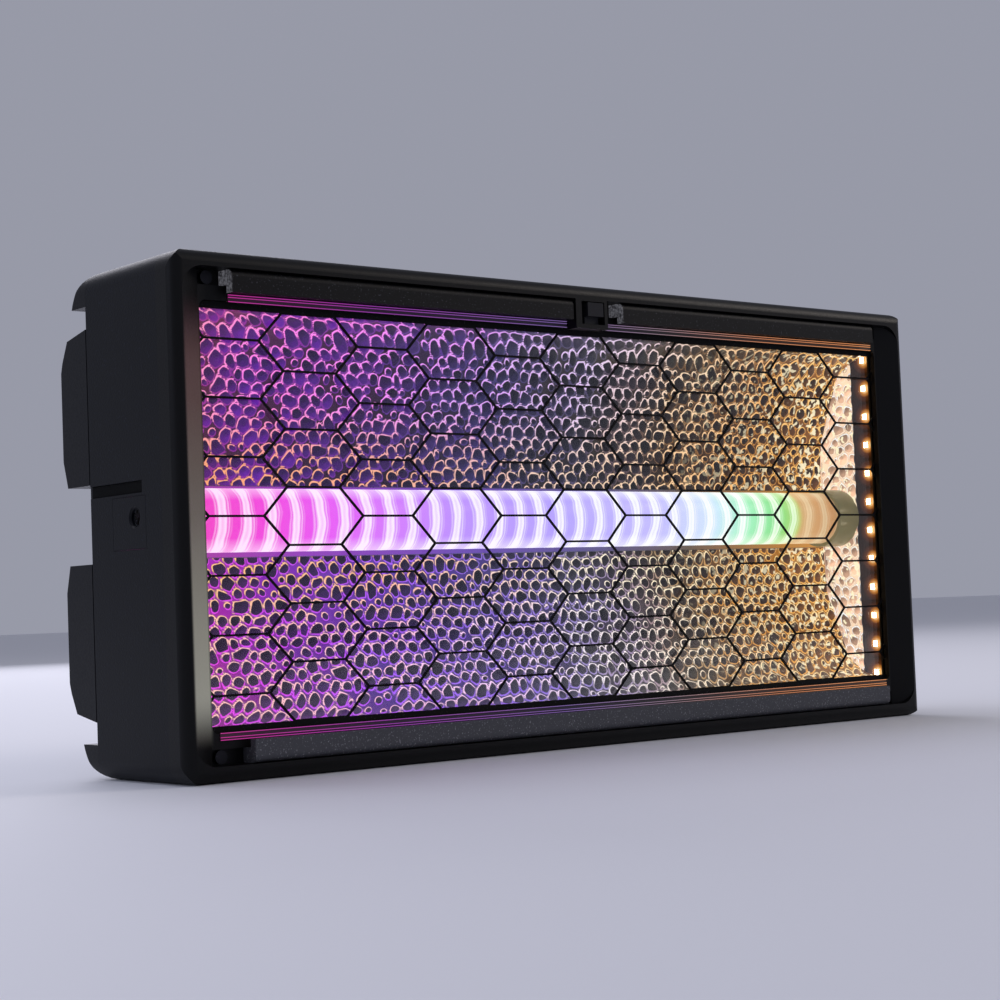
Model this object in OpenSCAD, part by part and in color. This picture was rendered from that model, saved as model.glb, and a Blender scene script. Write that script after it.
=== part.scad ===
// Hybrid strobe and wash light panel for the stage: a shallow box with a hammered reflector trough,
// one light tube across it, a column of white LEDs at each end, and a honeycomb guard in the window.
// Frame: +X to the right, +Y to the back, +Z up. The origin is at the middle of the underside.
// Modules below seat() are drawn from the centre of the guard: X right, Y into the light, Z up.

/* [Body] */
// Width over the housing
body_w = 445; // [420:1:480]
// Height over the housing
body_h = 212; // [206:1:230]
// Front face to the rear edge of the side panels
body_d = 71; // [70:1:80]
// Wall of the pressed housing
wall = 2; // [1.5:0.1:2.5]
// Corner radius of the housing seen from the front
corner_r = 8; // [6:0.5:10]

/* [Bezel] */
// Depth of the bezel ring
bezel_d = 13; // [12:0.5:15]
// Rounding of the bezel's front edges
bezel_edge_r = 5; // [3:0.5:6]
// Front face to the plane of the guard
guard_depth = 9.8; // [9:0.1:11]
// Half width of the recess at the front face
recess_half_w = 218; // [216:0.5:220]
// Half height of the recess
recess_half_h = 99.3; // [98.5:0.1:100]
// Front face to the window ledge
ledge_depth = 6.8; // [6:0.1:7.5]
// Half width of the window
window_half_w = 206.4; // [205:0.1:207]
// Half height of the window
window_half_h = 86.8; // [86:0.1:87.5]

/* [Guard] */
// Height of one honeycomb cell
cell_h = 24; // [20:1:28]
// Length of a cell's level edges
cell_edge = 26.4; // [22:0.2:30]
// Run of a cell's slanted edges
cell_slant = 11.6; // [9:0.2:14]
// Width of the guard's bars
bar_w = 0.9; // [0.6:0.1:1.6]
// Thickness of the guard sheet
guard_t = 0.8; // [0.5:0.1:1]

/* [Light tube] */
// Outside diameter of the tube
tube_od = 27; // [24:0.5:28]
// Wall of the tube
tube_wall = 1.6; // [1:0.1:2.5]
// Guard plane to the tube's axis
tube_v = 33; // [31:0.5:34]
// Number of LEDs behind the tube
tube_led_n = 32; // [16:1:48]

/* [End LEDs] */
// LEDs in each end column
end_led_n = 12; // [8:1:12]
// Distance between them
end_led_pitch = 15.1; // [12:0.1:15.1]

/* [Cooling] */
// Side of a fan
fan_size = 50; // [40:1:52]
// Depth of a fan
fan_d = 15; // [10:1:15]
// Blades on a rotor
fan_blades = 7; // [5:1:9]

/* [Rear] */
// How far the vent hoods stand behind the side panels
hood_d = 24; // [22:0.5:28]
// Clearance hole for the clamp's bolt
clamp_hole_d = 13; // [10:0.5:13.5]
// Core diameter of the tapped side holes
side_hole_d = 6.8; // [6:0.1:8]

/* [Hidden] */
$fn = 48;
front_v = -guard_depth;
seam_v = front_v + bezel_d;
rear_v = front_v + body_d;
total_d = body_d + hood_d;
guard_y = guard_depth - total_d / 2;
half_w = body_w / 2;
half_h = body_h / 2;
ledge_v = front_v + ledge_depth;

rebate_half_w = 210.8;
rebate_half_h = 89;
pane_gap = 0.3;
glass_v0 = guard_t / 2;
glass_v1 = glass_v0 + 2.6;
gasket_v1 = glass_v1 + 1.2;

rail_v1 = 0;
rail_v0 = front_v + 0.5;
rail_lip_w0 = 89.6;
rail_web_w0 = 93;
rail_w1 = 99.1;
rail_lip_t = 3.6;
rail_r = 3;
rail_left = [-195, -11];
rail_right = [19.5, 198.6];
rail_bottom = [-190.5, 198.6];
rail_slot_half_w = 207;

latch_x = [-10, 9.6];
latch_w0 = 85.7;
latch_window_x = [-6.4, 7.7];
latch_window_w = [87.8, 98.4];
latch_floor_v = front_v + 4.6;
latch_travel = 3.4;
slider_x = [-2.4, 7.2];
slider_foot_x = [0.5, 4.5];
latch_bay_w = [93.4, 97.4];
latch_bay_x = [-8.6, 6.4];
latch_bay_v = [-3.6, -0.6];

reflector_x = 211;
reflector_t = 1;
trough_in = [[43, 15.5], [43, 38], [28.5, 76], [16, 84.5], [4.3, 85.5], [4.3, 91]];
trough_out = [[5.3, 91], [5.3, 86.6], [16.9, 85.6], [29.4, 76.8], [44, 38.3], [44, 15.5]];

end_board_v = [3.4, 18.6];
end_board_t = 1.6;
end_led_v = 9.5;
end_led_size = 3.5;
end_led_t = 1.4;

tube_r = tube_od / 2;
tube_bore_r = tube_r - tube_wall;
tube_flat_v = tube_v + 8;
tube_half_len = 204;
bar_t = 6;
bar_half_w = 15;
bar_v1 = tube_flat_v + bar_t;
board_t = 1.6;
tube_led_size = 5;
tube_led_t = 1.5;
tube_led_pitch = 12.4;

chassis_t = 1.5;
chassis_v1 = bar_v1 + chassis_t;

cover_t = 1.6;
cover_v1 = rear_v + cover_t;
cover_half_w = 221.5;
cover_half_h = 91.4;
rear_opening = [214, 82];
shell_rear_r = 8;
rib_start = -5;
rib_depth = 12;
rib_w0 = 91.5;

hood_x = [76, 222];
hood_skin = 2;
hood_out = [[cover_t, 16.5], [20.5, 16.5], [hood_d, 28], [hood_d, 66], [22.5, 70.5], [18, 79], [cover_t, 82.2]];
hood_in = [[1, 18.7], [18.8, 18.7], [22, 29.2], [22, 65.6], [20.8, 69.3], [16.6, 77.2], [1, 80]];
slot_n = 20;
slot_pitch = 6;
slot_size = [3, 34];
hood_mid_w = 47;

fan_x = 148;
fan_w = 49.5;
fan_bore_r = fan_size / 2 - 1.5;
fan_v0 = cover_v1;
fan_shaft_r = 1.5;
fan_hub_r = 10;
running_gap = 0.05;

panel_half_w = 68;
panel_w = [19, 80];
panel_t = 3;
display_box = [32, 42, 70];
button_xs = [-30, -10, 10, 30];
button_w = 30;
button_r = 4;
button_gap = 0.3;
button_travel = 1.2;

socket_xs = [-51, -17, 17, 51];
socket_w = -49.5;
socket_flange = [26, 31];
socket_barrel_r = 11.8;
socket_bore_r = 9.4;
socket_floor = -8;

foot_x = [45, 72];
bracket_t = 3;
bracket_half_w = 14;
bridge_v1 = cover_v1 + 19;
stud_x = 58.5;
stud_r = 4;
eye_x = 140;
eye_r = 9;
eye_wire_r = 2.5;

side_hole_v = 25.2;
side_hole_w = 0.9;
side_plate_v = [16, 43];
side_plate_w = [-12, 9.6];
side_slot_v = 18.5;
side_slot_w = [10.7, 15.7];
side_slot_d = 1.4;

front_screws = [for (x = [-202, 203]) for (w = [-96.1, 96.1]) [x, w]];
rear_screws = [for (x = [-190, -64, 64, 190]) for (w = [-87, 87]) [x, w]];

// ---- helpers ----

// From the guard's centre to the frame of the whole light
module seat() {
    translate([0, guard_y, half_h])
        children();
}

// Box given by its low and high sides
module block(x0, x1, v0, v1, w0, w1) {
    translate([x0, v0, w0])
        cube([x1 - x0, v1 - v0, w1 - w0]);
}

// Round bar from front to back
module rod(x, w, v0, v1, r) {
    translate([x, v0, w])
        rotate([-90, 0, 0])
            cylinder(h = v1 - v0, r = r);
}

// Round bar from left to right
module bar(v, w, x0, x1, r) {
    translate([x0, v, w])
        rotate([0, 90, 0])
            cylinder(h = x1 - x0, r = r);
}

// An outline seen from the front, run from v0 to v1
module run_back(v0, v1) {
    translate([0, v1, 0])
        rotate([90, 0, 0])
            linear_extrude(v1 - v0)
                children();
}

// A side profile (depth, height) run from x0 to x1
module run_across(x0, x1) {
    translate([x0, 0, 0])
        rotate([90, 0, 90])
            linear_extrude(x1 - x0)
                children();
}

// A plan outline (width, depth) run from w0 up to w1
module run_up(w0, w1) {
    translate([0, 0, w0])
        linear_extrude(w1 - w0)
            children();
}

// Rectangle with round corners, given by its half sides
module round_rect(hw, hh, r) {
    translate([-hw, -hh + r])
        square([2 * hw, 2 * (hh - r)]);
    translate([-hw + r, -hh])
        square([2 * (hw - r), 2 * hh]);
    for (sx = [-1, 1])
        for (sy = [-1, 1])
            translate([sx * (hw - r), sy * (hh - r)])
                circle(r);
}

// Flat ring between two rectangles given by their half sides
module frame_2d(outer, inner) {
    difference() {
        square([2 * outer[0], 2 * outer[1]], center = true);
        square([2 * inner[0], 2 * inner[1]], center = true);
    }
}

// Mirror image across the middle of the width
module other_side() {
    mirror([1, 0, 0])
        children();
}

// Mirror image across the middle of the height
module upside_down() {
    mirror([0, 0, 1])
        children();
}

// ---- front ----

// Depth profile with its two front corners rounded
module nose_2d(half) {
    translate([front_v + bezel_edge_r, -half])
        square([bezel_d - bezel_edge_r, 2 * half]);
    translate([front_v, -half + bezel_edge_r])
        square([bezel_d, 2 * (half - bezel_edge_r)]);
    for (s = [-1, 1])
        translate([front_v + bezel_edge_r, s * (half - bezel_edge_r)])
            circle(bezel_edge_r);
}

module bezel_block() {
    intersection() {
        run_back(front_v, seam_v)
            round_rect(half_w, half_h, corner_r);
        run_across(-half_w, half_w)
            nose_2d(half_h);
        run_up(-half_h, half_h)
            mirror([1, -1])
                nose_2d(half_w);
    }
}

// Recess in front of the ledge: upright top and bottom walls, side walls that slope in
module bezel_recess() {
    slope = (recess_half_w - window_half_w - 0.6) / ledge_depth;
    wide = recess_half_w + slope;
    narrow = window_half_w + 0.6;
    intersection() {
        run_back(front_v - 1, ledge_v)
            round_rect(recess_half_w, recess_half_h, 10);
        run_up(-recess_half_h, recess_half_h)
            polygon([[-wide, front_v - 1], [wide, front_v - 1], [narrow, ledge_v], [-narrow, ledge_v]]);
    }
}

module front_bezel() {
    color([0.05, 0.05, 0.06])
        seat()
            difference() {
                bezel_block();
                bezel_recess();
                for (s = [-1, 1])
                    block(-rail_slot_half_w, rail_slot_half_w, ledge_v - 1, rail_v1,
                        s > 0 ? rail_web_w0 - 0.1 : -recess_half_h, s > 0 ? recess_half_h : -rail_web_w0 + 0.1);
                run_back(ledge_v - 1, 1)
                    round_rect(window_half_w, window_half_h, 3);
                block(-rebate_half_w, rebate_half_w, -guard_t / 2, seam_v + 1, -rebate_half_h, rebate_half_h);
                for (p = front_screws)
                    rod(p[0], p[1], -1, seam_v + 1, 1.7);
            }
}

module window_glass() {
    color([0.8, 0.85, 0.88, 0.35])
        seat()
            block(-rebate_half_w + pane_gap, rebate_half_w - pane_gap, glass_v0, glass_v1,
                -rebate_half_h + pane_gap, rebate_half_h - pane_gap);
}

module window_gasket() {
    color([0.12, 0.12, 0.12])
        seat()
            run_back(glass_v1, gasket_v1)
                frame_2d([rebate_half_w - pane_gap, rebate_half_h - pane_gap], [rebate_half_w - 3.3, rebate_half_h - 2.4]);
}

// Opening of one cell: the cell's outline brought in by half a bar on every side
module cell_2d() {
    half_bar = bar_w / 2;
    rise = cell_h / 2;
    inset = half_bar * sqrt(rise * rise + cell_slant * cell_slant) / rise;
    tip = cell_edge / 2 + cell_slant - inset;
    flat = tip - cell_slant * (rise - half_bar) / rise;
    polygon([[-tip, 0], [-flat, rise - half_bar], [flat, rise - half_bar],
        [tip, 0], [flat, half_bar - rise], [-flat, half_bar - rise]]);
}

module hex_guard() {
    border_w = 84;
    outer = [rebate_half_w - pane_gap, rebate_half_h - pane_gap];
    color([0.03, 0.03, 0.03])
        seat()
            run_back(-guard_t / 2, guard_t / 2)
                union() {
                    frame_2d(outer, [window_half_w + 0.6, border_w]);
                    difference() {
                        square([2 * window_half_w + 2.4, 2 * border_w + 2], center = true);
                        for (c = [-5:5])
                            for (k = [-4:3])
                                translate([c * (cell_edge + cell_slant), (k + (c % 2 == 0 ? 0 : 0.5)) * cell_h])
                                    cell_2d();
                        for (s = [-1, 1])
                            translate([5 * (cell_edge + cell_slant) * s, 0])
                                for (k = [-3:3])
                                    translate([s * (cell_edge + cell_slant), k * cell_h])
                                        cell_2d();
                    }
                }
}

// Top rail profile: a web against the recess floor and a lip that hangs down at the front
module rail_2d() {
    difference() {
        union() {
            translate([rail_v0, rail_web_w0])
                square([rail_v1 - rail_v0, rail_w1 - rail_web_w0]);
            translate([rail_v0, rail_lip_w0])
                square([rail_lip_t, rail_w1 - rail_lip_w0]);
        }
        translate([rail_v0, rail_w1 - rail_r])
            difference() {
                translate([-1, 0])
                    square([rail_r + 1, rail_r + 1]);
                translate([rail_r, 0])
                    circle(rail_r);
            }
    }
}

module rail(span) {
    color([0.16, 0.16, 0.17])
        seat()
            run_across(span[0], span[1])
                rail_2d();
}

module bottom_rail() {
    color([0.16, 0.16, 0.17])
        seat()
            upside_down()
                run_across(rail_bottom[0], rail_bottom[1])
                    rail_2d();
}

module latch_cover() {
    color([0.06, 0.06, 0.07])
        seat()
            difference() {
                union() {
                    block(latch_x[0], latch_x[1], front_v, ledge_v, latch_w0, recess_half_h);
                    block(latch_x[0], latch_x[1], ledge_v, rail_v1, rail_web_w0, recess_half_h);
                }
                block(latch_window_x[0], latch_window_x[1], front_v - 1, latch_floor_v,
                    latch_window_w[0], latch_window_w[1]);
                block(slider_foot_x[0] - latch_travel - 0.4, slider_foot_x[1] + 0.4, latch_floor_v - 1,
                    latch_bay_v[0] + 1, latch_bay_w[0] + 0.4, latch_bay_w[1] - 0.4);
                block(latch_bay_x[0], latch_bay_x[1], latch_bay_v[0], latch_bay_v[1],
                    latch_bay_w[0], latch_bay_w[1]);
            }
}

// Thumb tab with a ledge under it; its foot runs in the cover's slot and holds the spring
module latch_slider() {
    color([0.14, 0.14, 0.15])
        seat()
            union() {
                block(slider_x[0], slider_x[1], front_v + 0.2, latch_floor_v - 0.2, 91.6, 98);
                block(slider_x[0], slider_x[1] - 1, front_v + 2.8, latch_floor_v - 0.2, 88.4, 91.6);
                block(slider_foot_x[0], slider_foot_x[1], latch_floor_v - 0.2, latch_bay_v[0] + 0.2,
                    latch_bay_w[0] + 0.7, latch_bay_w[1] - 0.7);
                block(slider_foot_x[0], slider_foot_x[1] + 1.6, latch_bay_v[0] + 0.2, latch_bay_v[1] - 0.2,
                    latch_bay_w[0] + 0.3, latch_bay_w[1] - 0.3);
            }
}

module latch_spring() {
    coil_r = 1;
    wire_r = 0.25;
    turns = 5;
    span = slider_foot_x[0] - latch_bay_x[0] - 2 * wire_r;
    color([0.7, 0.7, 0.72])
        seat()
            translate([latch_bay_x[0] + wire_r, (latch_bay_v[0] + latch_bay_v[1]) / 2,
                (latch_bay_w[0] + latch_bay_w[1]) / 2])
                rotate([0, 90, 0])
                    linear_extrude(span, twist = 360 * turns, slices = 10 * turns, $fn = 6)
                        translate([coil_r, 0])
                            circle(wire_r, $fn = 6);
}

// Pan head screws: four behind the bezel's recess, eight round the rear cover
module case_screws() {
    color([0.1, 0.1, 0.1])
        seat() {
            for (p = front_screws) {
                rod(p[0], p[1], -2, 0, 2.8);
                rod(p[0], p[1], 0, 12, 1.45);
            }
            for (p = rear_screws) {
                rod(p[0], p[1], cover_v1, cover_v1 + 2, 2.8);
                rod(p[0], p[1], rear_v - 6, cover_v1, 1.45);
            }
        }
}

// ---- housing ----

// Side profile of the housing: square at the bezel, rounded at its rear corners
module shell_2d() {
    translate([seam_v, -half_h])
        square([rear_v - seam_v - shell_rear_r, body_h]);
    translate([seam_v, -half_h + shell_rear_r])
        square([rear_v - seam_v, body_h - 2 * shell_rear_r]);
    for (s = [-1, 1])
        translate([rear_v - shell_rear_r, s * (half_h - shell_rear_r)])
            circle(shell_rear_r);
}

// Same profile inside the wall
module shell_inside_2d() {
    inner_r = shell_rear_r - wall;
    translate([seam_v - 1, -half_h + wall])
        square([rear_v - seam_v - shell_rear_r + 1, body_h - 2 * wall]);
    translate([seam_v - 1, -half_h + shell_rear_r])
        square([rear_v - seam_v - wall + 1, body_h - 2 * shell_rear_r]);
    for (s = [-1, 1])
        translate([rear_v - shell_rear_r, s * (half_h - shell_rear_r)])
            circle(inner_r);
}

module housing_shell() {
    color([0.09, 0.1, 0.13])
        seat()
            difference() {
                union() {
                    difference() {
                        intersection() {
                            run_across(-half_w, half_w)
                                shell_2d();
                            run_back(seam_v, rear_v)
                                round_rect(half_w, half_h, corner_r);
                        }
                        intersection() {
                            run_across(-half_w + wall, half_w - wall)
                                shell_inside_2d();
                            run_back(seam_v - 1, rear_v)
                                round_rect(half_w - wall, half_h - wall, corner_r - wall);
                        }
                    }
                    for (p = front_screws)
                        block(p[0] - 4.5, p[0] + 4.5, seam_v, 15, p[1] > 0 ? 92 : 1 - half_h, p[1] > 0 ? half_h - 1 : -92);
                }
                block(-rear_opening[0], rear_opening[0], rear_v - wall - 1, rear_v + 1,
                    -rear_opening[1], rear_opening[1]);
                for (p = front_screws)
                    rod(p[0], p[1], seam_v - 1, 13, 1.5);
                for (p = rear_screws)
                    rod(p[0], p[1], rear_v - 3, rear_v + 1, 1.5);
                for (s = [-1, 1]) {
                    block(s * (half_w - wall / 2) - wall, s * (half_w - wall / 2) + wall,
                        side_plate_v[0], side_plate_v[1], side_plate_w[0], side_plate_w[1]);
                    block(s * half_w - side_slot_d, s * half_w + side_slot_d,
                        side_slot_v, rear_v + 1, side_slot_w[0], side_slot_w[1]);
                }
            }
}

// Flush plate round the tapped hole in a side panel
module side_plate() {
    gap = 0.15;
    difference() {
        block(half_w - wall, half_w, side_plate_v[0] + gap, side_plate_v[1] - gap,
            side_plate_w[0] + gap, side_plate_w[1] - gap);
        bar(side_hole_v, side_hole_w, half_w - wall - 1, half_w + 1, side_hole_d / 2 + 0.3);
        translate([half_w - 0.8, side_hole_v, side_hole_w])
            rotate([0, 90, 0])
                cylinder(h = 0.9, r1 = side_hole_d / 2 + 0.3, r2 = side_hole_d / 2 + 1.2);
    }
}

module side_plate_left() {
    color([0.09, 0.1, 0.13])
        seat()
            other_side()
                side_plate();
}

module side_plate_right() {
    color([0.09, 0.1, 0.13])
        seat()
            side_plate();
}

// Tapped steel blocks behind both side plates
module side_inserts() {
    color([0.6, 0.6, 0.62])
        seat()
            for (s = [0, 1])
                mirror([s, 0, 0])
                    difference() {
                        block(reflector_x + 2, half_w - wall, side_hole_v - 8, side_hole_v + 8,
                            side_hole_w - 8, side_hole_w + 8);
                        bar(side_hole_v, side_hole_w, reflector_x, half_w, side_hole_d / 2);
                    }
}

// ---- optics ----

module reflector_half() {
    run_across(-reflector_x, reflector_x)
        polygon(concat(trough_in, trough_out));
}

module reflector_upper() {
    color([0.82, 0.82, 0.84])
        seat()
            reflector_half();
}

module reflector_lower() {
    color([0.82, 0.82, 0.84])
        seat()
            upside_down()
                reflector_half();
}

// End wall of the trough, notched for the tube's bar
module reflector_end() {
    difference() {
        block(reflector_x, reflector_x + reflector_t, end_board_v[1], chassis_v1 - chassis_t - 0.2, -87, 87);
        bar(tube_v, 0, reflector_x - 1, reflector_x + 2, tube_r + 0.3);
        block(reflector_x - 1, reflector_x + 2, tube_flat_v - 0.3, chassis_v1, -bar_half_w - 0.3, bar_half_w + 0.3);
    }
}

module reflector_end_left() {
    color([0.82, 0.82, 0.84])
        seat()
            other_side()
                reflector_end();
}

module reflector_end_right() {
    color([0.82, 0.82, 0.84])
        seat()
            reflector_end();
}

// Tube with a flat back that closes on the LED bar
module strobe_tube() {
    color([0.95, 0.85, 0.95, 0.6])
        seat()
            difference() {
                bar(tube_v, 0, -tube_half_len, tube_half_len, tube_r);
                bar(tube_v, 0, -tube_half_len - 1, tube_half_len + 1, tube_bore_r);
                block(-tube_half_len - 1, tube_half_len + 1, tube_flat_v, tube_v + tube_od, -tube_od, tube_od);
            }
}

// Cap ring that carries one end of the tube
module tube_socket() {
    difference() {
        bar(tube_v, 0, tube_half_len - 8, reflector_x, tube_r + 1.8);
        bar(tube_v, 0, tube_half_len - 9, tube_half_len, tube_r + running_gap);
        bar(tube_v, 0, tube_half_len - 1, reflector_x - 1.5, tube_bore_r);
        block(0, reflector_x + 1, tube_flat_v, tube_v + tube_od, -tube_od, tube_od);
    }
}

module tube_socket_left() {
    color([0.85, 0.85, 0.86])
        seat()
            other_side()
                tube_socket();
}

module tube_socket_right() {
    color([0.85, 0.85, 0.86])
        seat()
            tube_socket();
}

module tube_led_bar() {
    color([0.75, 0.76, 0.78])
        seat()
            block(-reflector_x - 3, reflector_x + 3, tube_flat_v, bar_v1, -bar_half_w, bar_half_w);
}

module tube_led_board() {
    color([0.9, 0.9, 0.88])
        seat()
            block(-reflector_x + 10, reflector_x - 10, tube_flat_v - board_t, tube_flat_v, -8, 8);
}

module tube_leds() {
    first_x = -(tube_led_n - 1) * tube_led_pitch / 2;
    color([1, 0.95, 0.7])
        seat()
            for (k = [0:tube_led_n - 1])
                translate([first_x + k * tube_led_pitch, tube_flat_v - board_t - tube_led_t / 2, 0])
                    cube([tube_led_size, tube_led_t, tube_led_size], center = true);
}

module side_boards() {
    color([0.9, 0.88, 0.8])
        seat()
            for (s = [0, 1])
                mirror([s, 0, 0])
                    block(reflector_x, reflector_x + end_board_t, end_board_v[0], end_board_v[1], -87, 87);
}

module side_leds() {
    first_w = -(end_led_n - 1) * end_led_pitch / 2;
    color([1, 0.93, 0.75])
        seat()
            for (s = [0, 1])
                mirror([s, 0, 0])
                    for (k = [0:end_led_n - 1])
                        translate([reflector_x - end_led_t / 2, end_led_v, first_w + k * end_led_pitch])
                            cube([end_led_t, end_led_size, end_led_size], center = true);
}

// ---- chassis and electronics ----

module chassis_plate() {
    color([0.6, 0.62, 0.64])
        seat()
            difference() {
                block(-half_w + 5, half_w - 5, bar_v1, chassis_v1, -90, 90);
                for (s = [-1, 1])
                    for (k = [-1, 1])
                        block(s * 110 - 30, s * 110 + 30, bar_v1 - 1, chassis_v1 + 1, k * 76 - 6, k * 76 + 6);
            }
}

module heatsink() {
    fin_n = 18;
    fin_pitch = 7.2;
    base_v1 = chassis_v1 + 3;
    block(80, 208, chassis_v1, base_v1, -62, 62);
    for (k = [0:fin_n - 1])
        block(82 + k * fin_pitch, 83.6 + k * fin_pitch, base_v1, rear_v - wall - 1, -62, 62);
}

module heatsink_left() {
    color([0.5, 0.51, 0.53])
        seat()
            other_side()
                heatsink();
}

module heatsink_right() {
    color([0.5, 0.51, 0.53])
        seat()
            heatsink();
}

module power_supply() {
    color([0.7, 0.7, 0.72])
        seat()
            block(-46, 46, chassis_v1, rear_v - 1, -34, 19);
}

// Driver board on four posts, with its coils and capacitors
module driver_board() {
    board_v = chassis_v1 + 1.5;
    color([0.1, 0.35, 0.2])
        seat()
            union() {
                block(-66, 66, board_v, board_v + board_t, -84, -66);
                for (x = [-60, 60])
                    rod(x, -75, chassis_v1, board_v, 2.5);
                for (x = [-40, -14, 12, 38])
                    rod(x, -75, board_v + board_t, board_v + board_t + 6, 6);
            }
}

// Control board with one switch behind each button
module control_board() {
    board_v = rear_v - 6.6;
    color([0.1, 0.3, 0.2])
        seat()
            union() {
                block(-58, 58, board_v, board_v + board_t, 23, 76);
                for (x = button_xs)
                    block(x - 3, x + 3, board_v + board_t, rear_v - 1.6, button_w - 3, button_w + 3);
            }
}

// ---- rear ----

module rear_cover() {
    color([0.08, 0.08, 0.1])
        seat()
            difference() {
                block(-cover_half_w, cover_half_w, rear_v, cover_v1, -cover_half_h, cover_half_h);
                for (s = [-1, 1])
                    for (k = [-1, 1])
                        rod(s * fan_x, k * fan_w, rear_v - 1, cover_v1 + 1, fan_bore_r);
                block(-60, 60, rear_v - 1, cover_v1 + 1, 24, 75);
                for (x = socket_xs)
                    rod(x, socket_w, rear_v - 1, cover_v1 + 1, socket_barrel_r + 0.2);
                for (s = [-1, 1]) {
                    rod(s * stud_x, 0, rear_v - 1, cover_v1 + 1, stud_r + running_gap);
                    block(s * stud_x - 2.4, s * stud_x + 2.4, rear_v - 1, cover_v1 + 1, -6.6, 6.6);
                }
                for (p = rear_screws)
                    rod(p[0], p[1], rear_v - 1, cover_v1 + 1, 1.7);
            }
}

// Vent hood over a fan: a chamfered open box with slots in its back
module hood() {
    difference() {
        run_across(hood_x[0], hood_x[1])
            translate([rear_v, 0])
                polygon(hood_out);
        run_across(hood_x[0] + hood_skin, hood_x[1] - hood_skin)
            translate([rear_v, 0])
                polygon(hood_in);
        for (k = [0:slot_n - 1])
            translate([fan_x + (k - (slot_n - 1) / 2) * slot_pitch, rear_v + hood_d, hood_mid_w])
                cube([slot_size[0], 3 * hood_skin, slot_size[1]], center = true);
    }
}

module hood_upper_right() {
    color([0.1, 0.11, 0.14])
        seat()
            hood();
}

module hood_upper_left() {
    color([0.1, 0.11, 0.14])
        seat()
            other_side()
                hood();
}

module hood_lower_right() {
    color([0.1, 0.11, 0.14])
        seat()
            upside_down()
                hood();
}

module hood_lower_left() {
    color([0.1, 0.11, 0.14])
        seat()
            other_side()
                upside_down()
                    hood();
}

// Quarter-round ribs along the top and bottom rear edges
module rear_ribs() {
    rise = half_h - rib_w0;
    run = rib_depth + shell_rear_r;
    arc_r = (run * run + rise * rise) / (2 * rise);
    color([0.1, 0.11, 0.14])
        seat()
            for (s = [0, 1])
                mirror([0, 0, s])
                    intersection() {
                        run_back(rear_v + rib_start, rear_v + rib_depth + 1)
                            round_rect(half_w, half_h, corner_r);
                        run_across(-half_w, half_w)
                            difference() {
                                intersection() {
                                    translate([rear_v - shell_rear_r, half_h - arc_r])
                                        circle(arc_r, $fn = 96);
                                    translate([rear_v + rib_start, rib_w0])
                                        square([rib_depth - rib_start, rise]);
                                }
                                translate([rear_v + rib_start - 1, 0])
                                    square([-rib_start + 1.02, half_h - shell_rear_r]);
                                translate([rear_v - shell_rear_r, half_h - shell_rear_r])
                                    circle(shell_rear_r + 0.05);
                            }
                    }
}

// Square fan frame with a four-armed bridge that carries the rotor's shaft
module fan_frame() {
    half = fan_size / 2;
    bridge_t = 2;
    difference() {
        translate([-half, 0, -half])
            cube([fan_size, fan_d, fan_size]);
        rod(0, 0, -1, fan_d + 1, fan_bore_r);
        for (sx = [-1, 1])
            for (sz = [-1, 1])
                rod(sx * (half - 4), sz * (half - 4), -1, fan_d + 1, 1.6);
    }
    rod(0, 0, 0, bridge_t, fan_hub_r);
    intersection() {
        union() {
            for (a = [45, 135])
                rotate([0, a, 0])
                    translate([-fan_size / 2, 0, -1.25])
                        cube([fan_size, bridge_t, 2.5]);
        }
        rod(0, 0, 0, bridge_t, fan_bore_r + 0.5);
    }
    rod(0, 0, bridge_t, fan_d - 2.5, fan_shaft_r);
}

module fan_frames() {
    color([0.07, 0.07, 0.07])
        seat()
            for (sx = [-1, 1])
                for (sz = [-1, 1])
                    translate([sx * fan_x, fan_v0, sz * fan_w])
                        fan_frame();
}

// Hub with pitched blades; it turns on the frame's shaft
module fan_rotor(sx, sz) {
    blade_t = 1.2;
    blade_pitch = 38;
    color([0.12, 0.12, 0.13])
        seat()
            translate([sx * fan_x, fan_v0, sz * fan_w])
                difference() {
                    union() {
                        rod(0, 0, 2.5, fan_d - 1, fan_hub_r);
                        for (k = [0:fan_blades - 1])
                            rotate([0, k * 360 / fan_blades, 0])
                                translate([fan_hub_r - 1, (fan_d + 1.5) / 2, 0])
                                    rotate([blade_pitch, 0, 0])
                                        translate([0, -blade_t / 2, -6])
                                            cube([fan_bore_r - fan_hub_r - 0.4, blade_t, 12]);
                    }
                    rod(0, 0, 2, fan_d - 2.4, fan_shaft_r + running_gap);
                }
}

module control_panel() {
    color([0.06, 0.06, 0.07])
        seat()
            difference() {
                block(-panel_half_w, panel_half_w, cover_v1, cover_v1 + panel_t, panel_w[0], panel_w[1]);
                block(-display_box[0], display_box[0], cover_v1 + 1, cover_v1 + panel_t + 1,
                    display_box[1], display_box[2]);
                block(3 - display_box[0], display_box[0] - 3, cover_v1 - 1, cover_v1 + 2,
                    display_box[1] + 3, display_box[2] - 3);
                for (x = button_xs)
                    rod(x, button_w, cover_v1 - 1, cover_v1 + panel_t + 1, button_r + button_gap);
            }
}

module display_window() {
    gap = 0.1;
    color([0.02, 0.05, 0.06])
        seat()
            block(gap - display_box[0], display_box[0] - gap, cover_v1 + 1, cover_v1 + panel_t - 0.2,
                display_box[1] + gap, display_box[2] - gap);
}

// Push button with a collar that keeps it behind the panel
module button(k) {
    color([0.25, 0.25, 0.26])
        seat() {
            rod(button_xs[k], button_w, rear_v + 1.2, cover_v1 + panel_t + 1.6, button_r);
            rod(button_xs[k], button_w, rear_v, rear_v + 1.2, button_r + 1.2);
        }
}

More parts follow.
